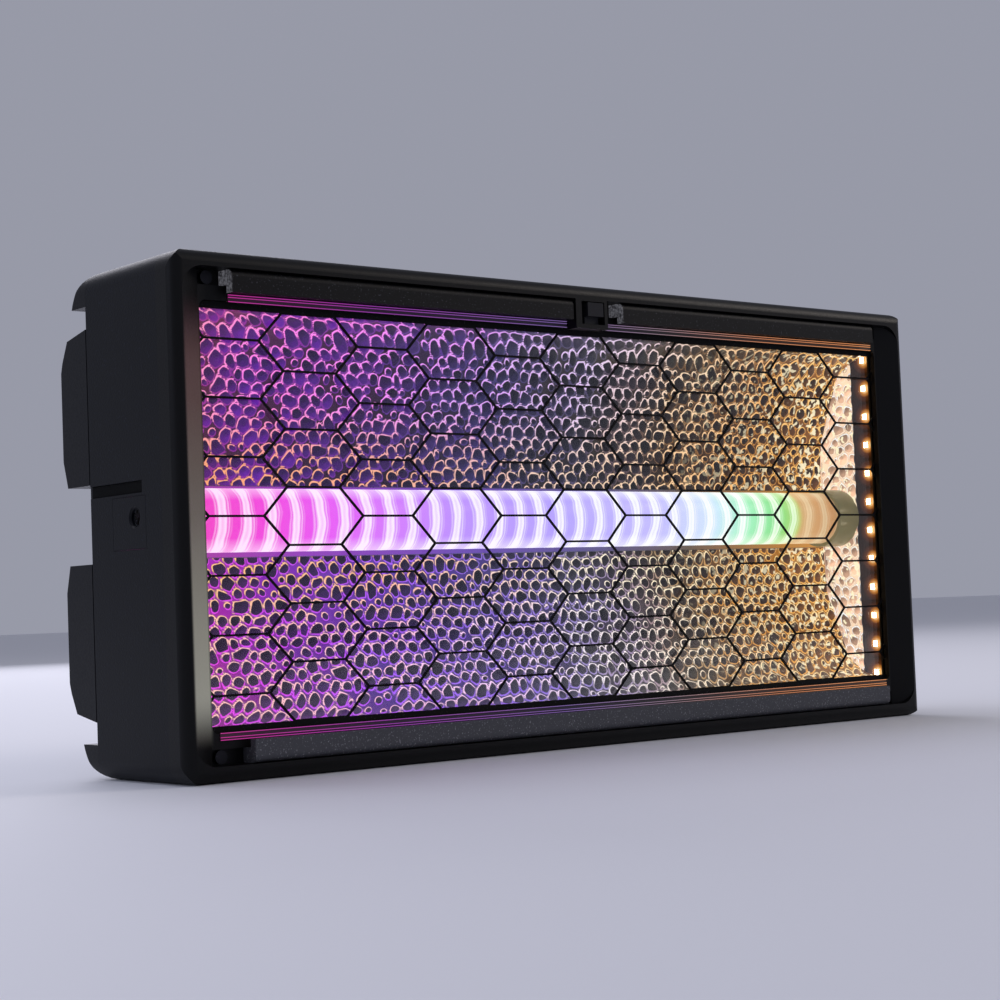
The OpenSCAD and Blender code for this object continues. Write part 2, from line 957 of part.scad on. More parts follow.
// Body of a round panel socket: square flange, barrel and a blind mouth
module socket_body(x, collar) {
    difference() {
        union() {
            block(x - socket_flange[0] / 2, x + socket_flange[0] / 2, cover_v1, cover_v1 + 2,
                socket_w - socket_flange[1] / 2, socket_w + socket_flange[1] / 2);
            rod(x, socket_w, cover_v1, cover_v1 + 2 + collar, socket_barrel_r - 0.4);
            rod(x, socket_w, rear_v + socket_floor - 2, cover_v1, socket_barrel_r);
        }
        rod(x, socket_w, rear_v + socket_floor, cover_v1 + 3 + collar, socket_bore_r);
        for (s = [-1, 1])
            rod(x + s * 9.5, socket_w - s * 12, cover_v1 - 1, cover_v1 + 3, 1.6);
    }
}

// Contacts on a circle at the bottom of a socket
module contacts(x, n, circle_r, pin_r) {
    for (k = [0:n - 1])
        rod(x + circle_r * sin(k * 360 / n), socket_w + circle_r * cos(k * 360 / n),
            rear_v + socket_floor - 1, rear_v + socket_floor + 5, pin_r);
}

module power_in() {
    color([0.13, 0.13, 0.14])
        seat() {
            socket_body(socket_xs[0], 5);
            contacts(socket_xs[0], 3, 4.5, 1.6);
        }
}

module power_out() {
    color([0.5, 0.5, 0.52])
        seat() {
            socket_body(socket_xs[1], 5);
            contacts(socket_xs[1], 3, 4.5, 1.6);
        }
}

module data_in() {
    color([0.13, 0.13, 0.14])
        seat() {
            socket_body(socket_xs[2], 1);
            contacts(socket_xs[2], 5, 5, 0.9);
        }
}

module data_out() {
    x = socket_xs[3];
    color([0.13, 0.13, 0.14])
        seat()
            difference() {
                union() {
                    socket_body(x, 1);
                    contacts(x, 5, 5, 1.4);
                }
                contacts_bores(x);
                block(x - 4.2, x + 4.2, cover_v1 + 0.6, cover_v1 + 4, socket_w + 11, socket_w + 16);
            }
}

// Holes in the female contacts
module contacts_bores(x) {
    for (k = [0:4])
        rod(x + 5 * sin(k * 72), socket_w + 5 * cos(k * 72), rear_v + socket_floor + 1,
            rear_v + socket_floor + 6, 0.8);
}

// Release tab of the data output, pressed towards the socket
module data_latch() {
    x = socket_xs[3];
    color([0.6, 0.6, 0.62])
        seat()
            block(x - 3.8, x + 3.8, cover_v1 + 0.9, cover_v1 + 3.6, socket_w + 13, socket_w + 15.3);
}

// Raised strap for a clamp, held to the cover by the two quarter-turn studs
module omega_bracket() {
    color([0.12, 0.12, 0.13])
        seat()
            difference() {
                union() {
                    block(-foot_x[0], foot_x[0], bridge_v1 - bracket_t, bridge_v1, -bracket_half_w, bracket_half_w);
                    for (s = [0, 1])
                        mirror([s, 0, 0]) {
                            block(foot_x[0] - bracket_t, foot_x[0], cover_v1, bridge_v1, -bracket_half_w, bracket_half_w);
                            block(foot_x[0] - bracket_t, foot_x[1], cover_v1, cover_v1 + bracket_t,
                                -bracket_half_w, bracket_half_w);
                        }
                }
                rod(0, 0, bridge_v1 - bracket_t - 1, bridge_v1 + 1, clamp_hole_d / 2);
                for (s = [-1, 1])
                    rod(s * stud_x, 0, cover_v1 - 1, cover_v1 + bracket_t + 1, stud_r + running_gap);
            }
}

// Quarter-turn stud: slotted head, shank and a cross bar behind the cover
module stud(s) {
    head_v0 = cover_v1 + bracket_t;
    x = s * stud_x;
    color([0.75, 0.75, 0.77])
        seat()
            difference() {
                union() {
                    rod(x, 0, rear_v - 3.5, head_v0 + 1, stud_r);
                    rod(x, 0, head_v0 + 0.2, head_v0 + 4.2, 8);
                    block(x - 6, x + 6, rear_v - 3.5, rear_v - 1, -2, 2);
                }
                block(x - 9, x + 9, head_v0 + 2.7, head_v0 + 5, -1, 1);
            }
}

// Eye for the safety wire, riveted in the channel between the hoods
module safety_eye() {
    plate_v1 = cover_v1 + 2;
    color([0.7, 0.7, 0.72])
        seat()
            union() {
                block(eye_x - 16, eye_x + 16, cover_v1, plate_v1, -6, 6);
                intersection() {
                    translate([eye_x, plate_v1, 0])
                        rotate_extrude()
                            translate([eye_r, 0])
                                circle(eye_wire_r);
                    block(eye_x - 20, eye_x + 20, plate_v1 - 0.5, plate_v1 + 20, -6, 6);
                }
            }
}

front_bezel();
window_glass();
window_gasket();
hex_guard();
rail(rail_left);  // top_rail_left
rail(rail_right);  // top_rail_right
bottom_rail();
latch_cover();
latch_slider();
latch_spring();
case_screws();
housing_shell();
side_plate_left();
side_plate_right();
side_inserts();
reflector_upper();
reflector_lower();
reflector_end_left();
reflector_end_right();
strobe_tube();
tube_socket_left();
tube_socket_right();
tube_led_bar();
tube_led_board();
tube_leds();
side_boards();
side_leds();
chassis_plate();
heatsink_left();
heatsink_right();
power_supply();
driver_board();
control_board();
rear_cover();
hood_upper_left();
hood_upper_right();
hood_lower_left();
hood_lower_right();
fan_frames();
fan_rotor(-1, 1);  // fan_rotor_1
fan_rotor(1, 1);  // fan_rotor_2
fan_rotor(-1, -1);  // fan_rotor_3
fan_rotor(1, -1);  // fan_rotor_4
rear_ribs();
control_panel();
display_window();
button(0);  // button_1
button(1);  // button_2
button(2);  // button_3
button(3);  // button_4
power_in();
power_out();
data_in();
data_out();
data_latch();
omega_bracket();
stud(-1);  // stud_left
stud(1);  // stud_right
safety_eye();
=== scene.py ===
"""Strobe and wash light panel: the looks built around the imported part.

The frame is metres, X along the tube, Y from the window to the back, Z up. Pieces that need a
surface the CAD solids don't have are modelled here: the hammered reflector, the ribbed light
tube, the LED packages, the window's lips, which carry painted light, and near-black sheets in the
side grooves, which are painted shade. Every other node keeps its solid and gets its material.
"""
import math

import bpy
import numpy as np
from mathutils import Matrix, Vector


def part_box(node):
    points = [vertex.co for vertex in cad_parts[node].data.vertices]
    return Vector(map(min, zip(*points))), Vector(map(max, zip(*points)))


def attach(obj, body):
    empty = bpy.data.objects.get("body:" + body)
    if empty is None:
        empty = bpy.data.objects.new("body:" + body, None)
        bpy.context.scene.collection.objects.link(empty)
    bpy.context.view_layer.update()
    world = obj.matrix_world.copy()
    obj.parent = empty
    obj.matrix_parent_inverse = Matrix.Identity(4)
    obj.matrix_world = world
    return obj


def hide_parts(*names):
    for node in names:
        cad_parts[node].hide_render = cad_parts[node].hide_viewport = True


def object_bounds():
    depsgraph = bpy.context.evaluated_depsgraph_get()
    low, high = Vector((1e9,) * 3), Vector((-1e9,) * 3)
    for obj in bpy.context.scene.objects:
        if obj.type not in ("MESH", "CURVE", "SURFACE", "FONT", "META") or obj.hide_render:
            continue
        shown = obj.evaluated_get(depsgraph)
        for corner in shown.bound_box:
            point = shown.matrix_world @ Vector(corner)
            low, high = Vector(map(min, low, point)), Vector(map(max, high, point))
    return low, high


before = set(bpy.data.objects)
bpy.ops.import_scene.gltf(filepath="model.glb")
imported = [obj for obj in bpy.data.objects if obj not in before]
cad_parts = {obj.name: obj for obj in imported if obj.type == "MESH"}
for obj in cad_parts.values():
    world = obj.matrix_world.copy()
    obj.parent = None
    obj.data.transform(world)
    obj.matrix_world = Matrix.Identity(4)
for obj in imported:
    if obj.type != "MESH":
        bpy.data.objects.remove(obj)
cad_low, cad_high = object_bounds()

MM = 0.001
GUARD_Y = (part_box("hex_guard")[0].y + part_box("hex_guard")[1].y) / 2
MID_Z = (cad_low.z + cad_high.z) / 2


# ---- small tools ----

def srgb(code):
    """A hex colour as linear red, green, blue and one."""
    out = []
    for k in (1, 3, 5):
        c = int(code[k:k + 2], 16) / 255
        out.append(c / 12.92 if c <= 0.04045 else ((c + 0.055) / 1.055) ** 2.4)
    return (*out, 1.0)


def shader_of(m):
    return m.node_tree.nodes["Principled BSDF"]


def material(name):
    """A new material, its node tree and its shader node."""
    m = bpy.data.materials.new(name)
    m.use_nodes = True
    return m, m.node_tree, shader_of(m)


def add(tree, kind, links=None, values=None, stops=None, **settings):
    """Adds a node with its settings, constants, ramp stops and links."""
    made = tree.nodes.new(kind)
    for key, value in settings.items():
        setattr(made, key, value)
    for key, value in (values or {}).items():
        made.inputs[key].default_value = value
    for key, socket in (links or {}).items():
        tree.links.new(socket, made.inputs[key])
    if stops:
        ramp = made.color_ramp
        while len(ramp.elements) < len(stops):
            ramp.elements.new(0.5)
        for element, (place, colour) in zip(ramp.elements, stops):
            element.position = place
            element.color = srgb(colour)
    return made


def deselect():
    bpy.ops.object.select_all(action="DESELECT")
    bpy.context.view_layer.objects.active = None


def only(piece):
    deselect()
    piece.select_set(True)
    bpy.context.view_layer.objects.active = piece


def apply_place(piece):
    only(piece)
    bpy.ops.object.transform_apply(location=True, rotation=True, scale=True)


def paint(coat, *nodes):
    """Gives CAD nodes one material."""
    for n in nodes:
        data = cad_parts[n].data
        data.materials.clear()
        data.materials.append(coat)


def glow_evenly(m, colour, strength):
    """Light of one colour and strength all over a material."""
    shader_of(m).inputs["Emission Color"].default_value = srgb(colour)
    shader_of(m).inputs["Emission Strength"].default_value = strength


# ---- camera, floor and lights ----

def make_camera():
    data = bpy.data.cameras.new("camera")
    data.lens = 73.33
    data.sensor_width = 36
    camera = bpy.data.objects.new("camera", data)
    bpy.context.scene.collection.objects.link(camera)
    right = Vector((0.7707, -0.6359, -0.0393)).normalized()
    back = Vector((-0.6371, -0.7689, -0.0528))
    back = (back - right * back.dot(right)).normalized()
    up = back.cross(right)
    turn = Matrix((right, up, back)).transposed().to_4x4()
    camera.matrix_world = Matrix.Translation((-0.6324, -0.7386, 0.0648)) @ turn
    bpy.context.scene.camera = camera
    bpy.context.scene.view_settings.view_transform = "Standard"


def make_stage():
    deselect()
    bpy.ops.mesh.primitive_plane_add(size=30, location=(0, 0, cad_low.z))
    floor = bpy.context.object
    floor.name = "floor"
    m, tree, shader = material("painted_studio_floor")
    shader.inputs["Base Color"].default_value = srgb("#dcdde2")
    shader.inputs["Roughness"].default_value = 0.75
    floor.data.materials.append(m)
    world = bpy.data.worlds.new("studio")
    bpy.context.scene.world = world
    world.use_nodes = True
    world.node_tree.nodes["Background"].inputs["Color"].default_value = srgb("#cfd2e4")
    world.node_tree.nodes["Background"].inputs["Strength"].default_value = 0.5


def make_light(name, place, target, size, power, colour):
    data = bpy.data.lights.new(name, "AREA")
    data.shape = "SQUARE"
    data.size = size
    data.energy = power
    data.color = srgb(colour)[:3]
    lamp = bpy.data.objects.new(name, data)
    bpy.context.scene.collection.objects.link(lamp)
    lamp.location = place
    lamp.rotation_mode = "QUATERNION"
    lamp.rotation_quaternion = (Vector(target) - Vector(place)).to_track_quat("-Z", "Y")


make_camera()
make_stage()
middle = (0, 0, MID_Z)
make_light("key_light", (1.9, -1.2, 1.4), middle, 0.9, 14, "#fff4ea")
make_light("side_light", (-1.6, 0.3, 0.9), middle, 1.0, 4, "#dde4ff")
make_light("back_light", (0.6, 2.1, 1.1), middle, 1.4, 16, "#f6f4ff")
make_light("top_light", (-0.2, 0.8, 1.8), middle, 1.2, 12, "#f0f0ff")


# ---- materials of the CAD nodes ----

def grained_plastic(name, colour, grain_mm, rough, depth):
    """ABS moulded in a spark-eroded tool: a fine grain that scatters its satin highlight."""
    m, tree, shader = material(name)
    place = add(tree, "ShaderNodeTexCoord").outputs["Object"]
    grain = add(tree, "ShaderNodeTexNoise", {"Vector": place},
                {"Scale": 1 / (grain_mm * MM), "Detail": 3.0, "Roughness": 0.6})
    cloud = add(tree, "ShaderNodeTexNoise", {"Vector": place}, {"Scale": 18.0, "Detail": 2.0})
    low = tuple(c * 0.8 for c in srgb(colour)[:3]) + (1,)
    high = tuple(min(1, c * 1.25) for c in srgb(colour)[:3]) + (1,)
    tone = add(tree, "ShaderNodeMix", {"Factor": cloud.outputs["Fac"]}, data_type="RGBA")
    tone.inputs["A"].default_value = low
    tone.inputs["B"].default_value = high
    tree.links.new(tone.outputs["Result"], shader.inputs["Base Color"])
    sheen = add(tree, "ShaderNodeMapRange", {"Value": grain.outputs["Fac"]},
                {"From Min": 0.3, "From Max": 0.7, "To Min": rough - 0.06, "To Max": rough + 0.08})
    tree.links.new(sheen.outputs["Result"], shader.inputs["Roughness"])
    bump = add(tree, "ShaderNodeBump", {"Height": grain.outputs["Fac"]},
               {"Strength": 0.6, "Distance": depth * MM})
    tree.links.new(bump.outputs["Normal"], shader.inputs["Normal"])
    shader.inputs["IOR"].default_value = 1.53
    shader.inputs["Specular IOR Level"].default_value = 0.16
    return m


# where the bezel's left slope is lit: the axis, where the light starts and where it is full, in mm
# from the guard's centre
SLOPE_LIGHT = (("X", -218.5, -216.5), ("X", -205.5, -207.5), ("Z", -93, -70), ("Z", 90, 60),
               ("Y", -17.5, -15.5))
SLOPE_TALL = 90


def lit_bezel():
    """The bezel's ABS: light from the window greys the slope beside the window's left end."""
    m = grained_plastic("spark_grained_bezel_abs", "#070708", 0.8, 0.4, 0.05)
    tree = m.node_tree
    place = add(tree, "ShaderNodeTexCoord").outputs["Object"]
    axes = add(tree, "ShaderNodeSeparateXYZ", {"Vector": place})
    centre = {"X": 0, "Y": GUARD_Y, "Z": MID_Z}
    masks = []
    for axis, start, full in SLOPE_LIGHT:
        masks.append(add(tree, "ShaderNodeMapRange", {"Value": axes.outputs[axis]},
                         {"From Min": centre[axis] + start * MM, "From Max": centre[axis] + full * MM},
                         interpolation_type="SMOOTHSTEP"))
    amount = masks[0].outputs["Result"]
    for mask in masks[1:]:
        amount = add(tree, "ShaderNodeMath", {0: amount, 1: mask.outputs["Result"]},
                     operation="MULTIPLY").outputs["Value"]
    up = add(tree, "ShaderNodeMapRange", {"Value": axes.outputs["Z"]},
             {"From Min": MID_Z - SLOPE_TALL * MM, "From Max": MID_Z + SLOPE_TALL * MM})
    spill = add(tree, "ShaderNodeValToRGB", {"Fac": up.outputs["Result"]}, stops=[
        (0.0, "#8c8c84"), (0.25, "#7c7a72"), (0.5, "#5c5650"), (0.75, "#4c3a38"), (1.0, "#3c2424")])
    shader = shader_of(m)
    tree.links.new(spill.outputs["Color"], shader.inputs["Emission Color"])
    tree.links.new(amount, shader.inputs["Emission Strength"])
    return m


def powder_coat(name, colour, fleck, grain_mm, fleck_share, rough):
    """Polyester powder baked on sheet metal: orange peel, with pale flecks."""
    m, tree, shader = material(name)
    place = add(tree, "ShaderNodeTexCoord").outputs["Object"]
    peel = add(tree, "ShaderNodeTexVoronoi", {"Vector": place}, {"Scale": 1 / (grain_mm * MM)},
               feature="SMOOTH_F1")
    fleck_noise = add(tree, "ShaderNodeTexNoise", {"Vector": place},
                      {"Scale": 0.7 / (grain_mm * MM), "Detail": 2.0})
    flecks = add(tree, "ShaderNodeMapRange", {"Value": fleck_noise.outputs["Fac"]},
                 {"From Min": 0.66 - fleck_share, "From Max": 0.72, "To Min": 0.0, "To Max": 1.0})
    tone = add(tree, "ShaderNodeMix", {"Factor": flecks.outputs["Result"]}, data_type="RGBA")
    tone.inputs["A"].default_value = srgb(colour)
    tone.inputs["B"].default_value = srgb(fleck)
    tree.links.new(tone.outputs["Result"], shader.inputs["Base Color"])
    bump = add(tree, "ShaderNodeBump", {"Height": peel.outputs["Distance"]},
               {"Strength": 0.5, "Distance": 0.12 * grain_mm * MM})
    tree.links.new(bump.outputs["Normal"], shader.inputs["Normal"])
    shader.inputs["Roughness"].default_value = rough
    shader.inputs["IOR"].default_value = 1.5
    shader.inputs["Specular IOR Level"].default_value = 0.16
    return m


def metal(name, colour, rough, grain=(1, 1, 1), grain_mm=0.5, depth=0.02):
    """Bare or plated metal; the grain runs along the axis with the smallest number."""
    m, tree, shader = material(name)
    place = add(tree, "ShaderNodeTexCoord").outputs["Object"]
    run = add(tree, "ShaderNodeMapping", {"Vector": place}, {"Scale": grain})
    lines = add(tree, "ShaderNodeTexNoise", {"Vector": run.outputs["Vector"]},
                {"Scale": 1 / (grain_mm * MM), "Detail": 4.0})
    soft = add(tree, "ShaderNodeMapRange", {"Value": lines.outputs["Fac"]},
               {"From Min": 0.3, "From Max": 0.7, "To Min": rough - 0.08, "To Max": rough + 0.1})
    tree.links.new(soft.outputs["Result"], shader.inputs["Roughness"])
    bump = add(tree, "ShaderNodeBump", {"Height": lines.outputs["Fac"]},
               {"Strength": 0.4, "Distance": depth * MM})
    tree.links.new(bump.outputs["Normal"], shader.inputs["Normal"])
    shader.inputs["Base Color"].default_value = srgb(colour)
    shader.inputs["Metallic"].default_value = 1.0
    return m


BAR_HALF = 210


def lit_bar():
    """Anodised aluminium under the tube, with the tube's light painted on it as a glow that takes the
    tube's colour along its length.
    """
    m = metal("tube_side_anodised_aluminium", "#1a1620", 0.45, (0.05, 1, 1), 0.5, 0.01)
    tree = m.node_tree
    place = add(tree, "ShaderNodeTexCoord").outputs["Object"]
    axes = add(tree, "ShaderNodeSeparateXYZ", {"Vector": place})
    along = add(tree, "ShaderNodeMapRange", {"Value": axes.outputs["X"]},
                {"From Min": -BAR_HALF * MM, "From Max": BAR_HALF * MM})
    glow = add(tree, "ShaderNodeValToRGB", {"Fac": along.outputs["Result"]}, stops=[
        (0.0, "#a83090"), (0.2, "#8838b0"), (0.4, "#6444a8"), (0.6, "#585080"), (0.75, "#605040"),
        (0.9, "#a87028"), (1.0, "#c88838")])
    shader = shader_of(m)
    tree.links.new(glow.outputs["Color"], shader.inputs["Emission Color"])
    shader.inputs["Emission Strength"].default_value = 1.2
    return m


def lit_rail(name, end_x):
    """Powder-coated rail whose cut end, beside end_x, is greyed by light from the window."""
    m = powder_coat(name, "#09090b", "#44444a", 0.55, 0.02, 0.5)
    tree = m.node_tree
    place = add(tree, "ShaderNodeTexCoord").outputs["Object"]
    axes = add(tree, "ShaderNodeSeparateXYZ", {"Vector": place})
    near = add(tree, "ShaderNodeMapRange", {"Value": axes.outputs["X"]},
               {"From Min": end_x + 0.9 * MM, "From Max": end_x + 0.1 * MM})
    grain = add(tree, "ShaderNodeTexNoise", {"Vector": place}, {"Scale": 1100.0, "Detail": 2.0})
    glow = add(tree, "ShaderNodeValToRGB", {"Fac": grain.outputs["Fac"]},
               stops=[(0.35, "#1c1c20"), (0.65, "#5a5a60")])
    shader = shader_of(m)
    tree.links.new(glow.outputs["Color"], shader.inputs["Emission Color"])
    tree.links.new(near.outputs["Result"], shader.inputs["Emission Strength"])
    return m


def clear_glass():
    """Toughened pane with an anti-reflection coat: clear, with the faintest waviness."""
    m, tree, shader = material("coated_toughened_glass")
    place = add(tree, "ShaderNodeTexCoord").outputs["Object"]
    wave = add(tree, "ShaderNodeTexNoise", {"Vector": place}, {"Scale": 12.0, "Detail": 1.0})
    bump = add(tree, "ShaderNodeBump", {"Height": wave.outputs["Fac"]},
               {"Strength": 0.1, "Distance": 0.2 * MM})
    tree.links.new(bump.outputs["Normal"], shader.inputs["Normal"])
    shader.inputs["Base Color"].default_value = srgb("#fbfdfc")
    shader.inputs["Roughness"].default_value = 0.0
    shader.inputs["Transmission Weight"].default_value = 1.0
    shader.inputs["Specular IOR Level"].default_value = 0.08
    shader.inputs["IOR"].default_value = 1.45
    return m


abs_black = grained_plastic("spark_grained_abs", "#070708", 0.8, 0.4, 0.05)
abs_hood = grained_plastic("spark_grained_hood_abs", "#0d0e12", 0.9, 0.4, 0.06)
membrane = grained_plastic("satin_polyester_membrane", "#181b21", 0.5, 0.32, 0.005)
steel_coat = powder_coat("powder_coated_steel", "#05070d", "#121622", 0.7, 0.04, 0.42)
# painted light: the bottom rail's coat is near black like the top rails', painted grey as if lit from
# above
sill_coat_painted_lit = powder_coat("coarse_powder_coat_painted_lit_sill", "#4c4d52", "#8c8d92", 0.55, 0.06, 0.5)
guard_coat = powder_coat("matt_black_guard_paint", "#050506", "#3a3640", 0.45, 0.0, 0.7)
bracket_coat = powder_coat("powder_coated_strap", "#101013", "#2a2b30", 0.8, 0.03, 0.5)
zinc = metal("bright_zinc_plate", "#b9bcc4", 0.3, (1, 1, 1), 1.2, 0.01)
turned_zinc = metal("turned_zinc_plate", "#c2c4ca", 0.25, (1, 0.05, 1), 0.4, 0.02)
extruded = metal("extruded_aluminium", "#c6c8cc", 0.34, (0.02, 1, 1), 0.5, 0.02)
wire = metal("drawn_spring_wire", "#a9abb2", 0.25, (0.1, 1, 1), 0.2, 0.005)
oxide = metal("black_oxide_screw", "#2a2a2e", 0.38, (1, 1, 1), 0.4, 0.01)
gasket = grained_plastic("moulded_silicone", "#0d0d0e", 1.2, 0.62, 0.02)
pom = grained_plastic("moulded_acetal", "#1c1c20", 0.6, 0.36, 0.01)
nylon = grained_plastic("moulded_nylon", "#1e2024", 0.7, 0.5, 0.03)
nylon_grey = grained_plastic("moulded_grey_nylon", "#84868a", 0.7, 0.5, 0.03)
fan_pbt = grained_plastic("moulded_fan_pbt", "#141417", 0.9, 0.34, 0.02)
key_rubber = grained_plastic("moulded_key_silicone", "#56585e", 0.8, 0.6, 0.02)
white_board = grained_plastic("white_solder_mask", "#d9d4c8", 1.5, 0.4, 0.01)
green_board = grained_plastic("green_solder_mask", "#1e5a36", 1.5, 0.35, 0.01)
screen = grained_plastic("smoked_display_lens", "#04070a", 4.0, 0.08, 0.001)
shader_of(screen).inputs["Specular IOR Level"].default_value = 0.5
smoky_socket = grained_plastic("moulded_smoky_socket", "#7c7a5c", 1.0, 0.2, 0.02)
# painted light: the sockets glow with the tube's light, though they are no lamps
glow_evenly(smoky_socket, "#7c7448", 0.45)
pane = clear_glass()

paint(abs_black, "latch_cover")
paint(membrane, "control_panel")
paint(lit_bezel(), "front_bezel")
paint(abs_hood, "hood_upper_left", "hood_upper_right", "hood_lower_left", "hood_lower_right", "rear_ribs")
paint(steel_coat, "housing_shell", "side_plate_left", "side_plate_right", "rear_cover")
for rail in ("top_rail_left", "top_rail_right"):
    paint(lit_rail(f"powder_coated_{rail}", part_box(rail)[0].x), rail)
paint(sill_coat_painted_lit, "bottom_rail")
paint(guard_coat, "hex_guard")
paint(bracket_coat, "omega_bracket")
paint(zinc, "chassis_plate", "power_supply", "safety_eye", "data_latch", "stud_left", "stud_right")
paint(turned_zinc, "side_inserts")
paint(lit_bar(), "tube_led_bar")
paint(extruded, "heatsink_left", "heatsink_right")
paint(wire, "latch_spring")
paint(oxide, "case_screws")
paint(gasket, "window_gasket")
paint(pom, "latch_slider")
paint(nylon, "power_in", "data_in", "data_out")
paint(nylon_grey, "power_out")
paint(fan_pbt, "fan_frames", "fan_rotor_1", "fan_rotor_2", "fan_rotor_3", "fan_rotor_4")
paint(key_rubber, "button_1", "button_2", "button_3", "button_4")
paint(white_board, "tube_led_board")
paint(green_board, "driver_board", "control_board")
paint(screen, "display_window")
paint(pane, "window_glass")
paint(smoky_socket, "tube_socket_left", "tube_socket_right")


# ---- hammered reflector ----

TROUGH = [(43, 15.5), (43, 38), (28.5, 76), (16, 84.5), (4.3, 85.5)]
HALF_RUN = 211
FILLET = 5
PEBBLE_W = 6.5
PEBBLE_H = 5.4
PEBBLE_LEAN = 0.85
PEBBLE_JITTER = 1.35
PEBBLE_RADII = (1.8, 2.9, 3.6, 4.4)
RADIUS_SHARES = (0.14, 0.3, 0.34, 0.22)
PEBBLE_RISE = 0.7
PEBBLE_FLANK = 1.8
SIZE_WEIGHT = 0.7
LOOSE_RADIUS = 1.25
CORNER_SOFT = 0.9
BLOCK = 4096
ROOF_FROM = 62
ROOF_STRETCH = 0.55
SHEET_STEP = 0.9


def path_points(corners, radius, step):
    """Points every step along a line of corners, with round corners, and the normals there."""
    corners = [np.array(c, float) for c in corners]
    dense = [corners[0]]
    for a, b, c in zip(corners, corners[1:], corners[2:]):
        into = (b - a) / np.linalg.norm(b - a)
        out = (c - b) / np.linalg.norm(c - b)
        cut = min(radius, 0.45 * np.linalg.norm(b - a), 0.45 * np.linalg.norm(c - b))
        for t in np.linspace(0, 1, 12):
            dense.append((1 - t) ** 2 * (b - into * cut) + 2 * t * (1 - t) * b + t ** 2 * (b + out * cut))
    dense.append(corners[-1])
    dense = np.array(dense)
    run = np.concatenate([[0], np.cumsum(np.linalg.norm(np.diff(dense, axis=0), axis=1))])
    count = int(round(run[-1] / step)) + 1
    at = np.linspace(0, run[-1], count)
    points = np.stack([np.interp(at, run, dense[:, k]) for k in (0, 1)], 1)
    tangent = np.gradient(points, axis=0)
    tangent /= np.linalg.norm(tangent, axis=1)[:, None]
    normal = np.stack([-tangent[:, 1], tangent[:, 0]], 1)
    return at, points, normal


def hammer(u, w, seed, gap):
    """Pebbles of a hammered sheet at places u, w in mm, no two alike, with half a gap round each.

    Returns the height, the distance past the pebble's edge, the way out of the pebble, and a
    number from 0 to 1 that belongs to the pebble.
    """
    rng = np.random.default_rng(seed)
    rows = np.arange(w.min() - PEBBLE_H, w.max() + PEBBLE_H, PEBBLE_H)
    centres, radii = [], []
    for k, row in enumerate(rows):
        cells = np.arange(u.min() - PEBBLE_W, u.max() + PEBBLE_W, PEBBLE_W)
        cells = cells + (k % 2) * PEBBLE_W / 2
        spot = np.stack([cells, np.full_like(cells, row)], 1)
        centres.append(spot + rng.uniform(-PEBBLE_JITTER, PEBBLE_JITTER, spot.shape))
        radii.append(rng.choice(PEBBLE_RADII, len(cells), p=RADIUS_SHARES))
    centres, radii = np.concatenate(centres), np.concatenate(radii)
    turn = rng.uniform(0, math.pi, len(centres))
    stretch = rng.uniform(0.78, 1.0, len(centres))
    luck = rng.uniform(0, 1, len(centres))
    spots = np.stack([u.ravel(), w.ravel()], 1)
    edge = np.empty(len(spots))
    lean = np.empty((len(spots), 2))
    own_luck = np.empty(len(spots))
    for start in range(0, len(spots), BLOCK):
        block = slice(start, start + BLOCK)
        part = spots[block]
        away = part[:, None, :] - centres[None]
        across = away[..., 0] * np.cos(turn) + away[..., 1] * np.sin(turn)
        endways = away[..., 1] * np.cos(turn) - away[..., 0] * np.sin(turn)
        far = np.hypot(across / stretch, endways * stretch)
        weighted = far - radii[None] * SIZE_WEIGHT
        near = np.argpartition(weighted, 1, axis=1)[:, :2]
        pick = np.arange(len(part))
        swap = weighted[pick, near[:, 0]] > weighted[pick, near[:, 1]]
        near[swap] = near[swap][:, ::-1]
        first, second = near[:, 0], near[:, 1]
        to_border = (weighted[pick, second] - weighted[pick, first]) / 2
        own = far[pick, first] - LOOSE_RADIUS * radii[first]
        # a soft largest-of, so that the pebbles have round corners
        border = gap - to_border
        blend = np.clip(0.5 + 0.5 * (own - border) / CORNER_SOFT, 0, 1)
        edge[block] = own * blend + border * (1 - blend) + CORNER_SOFT * blend * (1 - blend)
        outward = away[pick, first]
        length = np.maximum(np.hypot(outward[:, 0], outward[:, 1]), 0.01)
        lean[block] = outward / length[:, None]
        own_luck[block] = luck[first]
    rise = np.clip((0.3 - edge) / PEBBLE_FLANK, 0, 1).reshape(u.shape)
    height = PEBBLE_RISE * (rise * rise * (3 - 2 * rise))
    out = [a.reshape(u.shape) for a in (edge, lean[:, 0], lean[:, 1], own_luck)]
    return height, *out


def grid_piece(name, rows, columns, places, data, luck=None):
    """A sheet of rows by columns of vertices at places in metres, with data for its material."""
    deselect()
    bpy.ops.mesh.primitive_grid_add(x_subdivisions=columns - 1, y_subdivisions=rows - 1, size=1)
    piece = bpy.context.object
    piece.name = name
    piece.data.name = name
    piece.data.vertices.foreach_set("co", places.reshape(-1, 3).astype(np.float32).ravel())
    piece.data.update()
    layer = piece.data.attributes.new("hammer", "FLOAT_VECTOR", "POINT")
    layer.data.foreach_set("vector", data.reshape(-1, 3).astype(np.float32).ravel())
    if luck is not None:
        layer = piece.data.attributes.new("pebble", "FLOAT", "POINT")
        layer.data.foreach_set("value", luck.astype(np.float32).ravel())
    only(piece)
    bpy.ops.object.shade_smooth()
    return piece


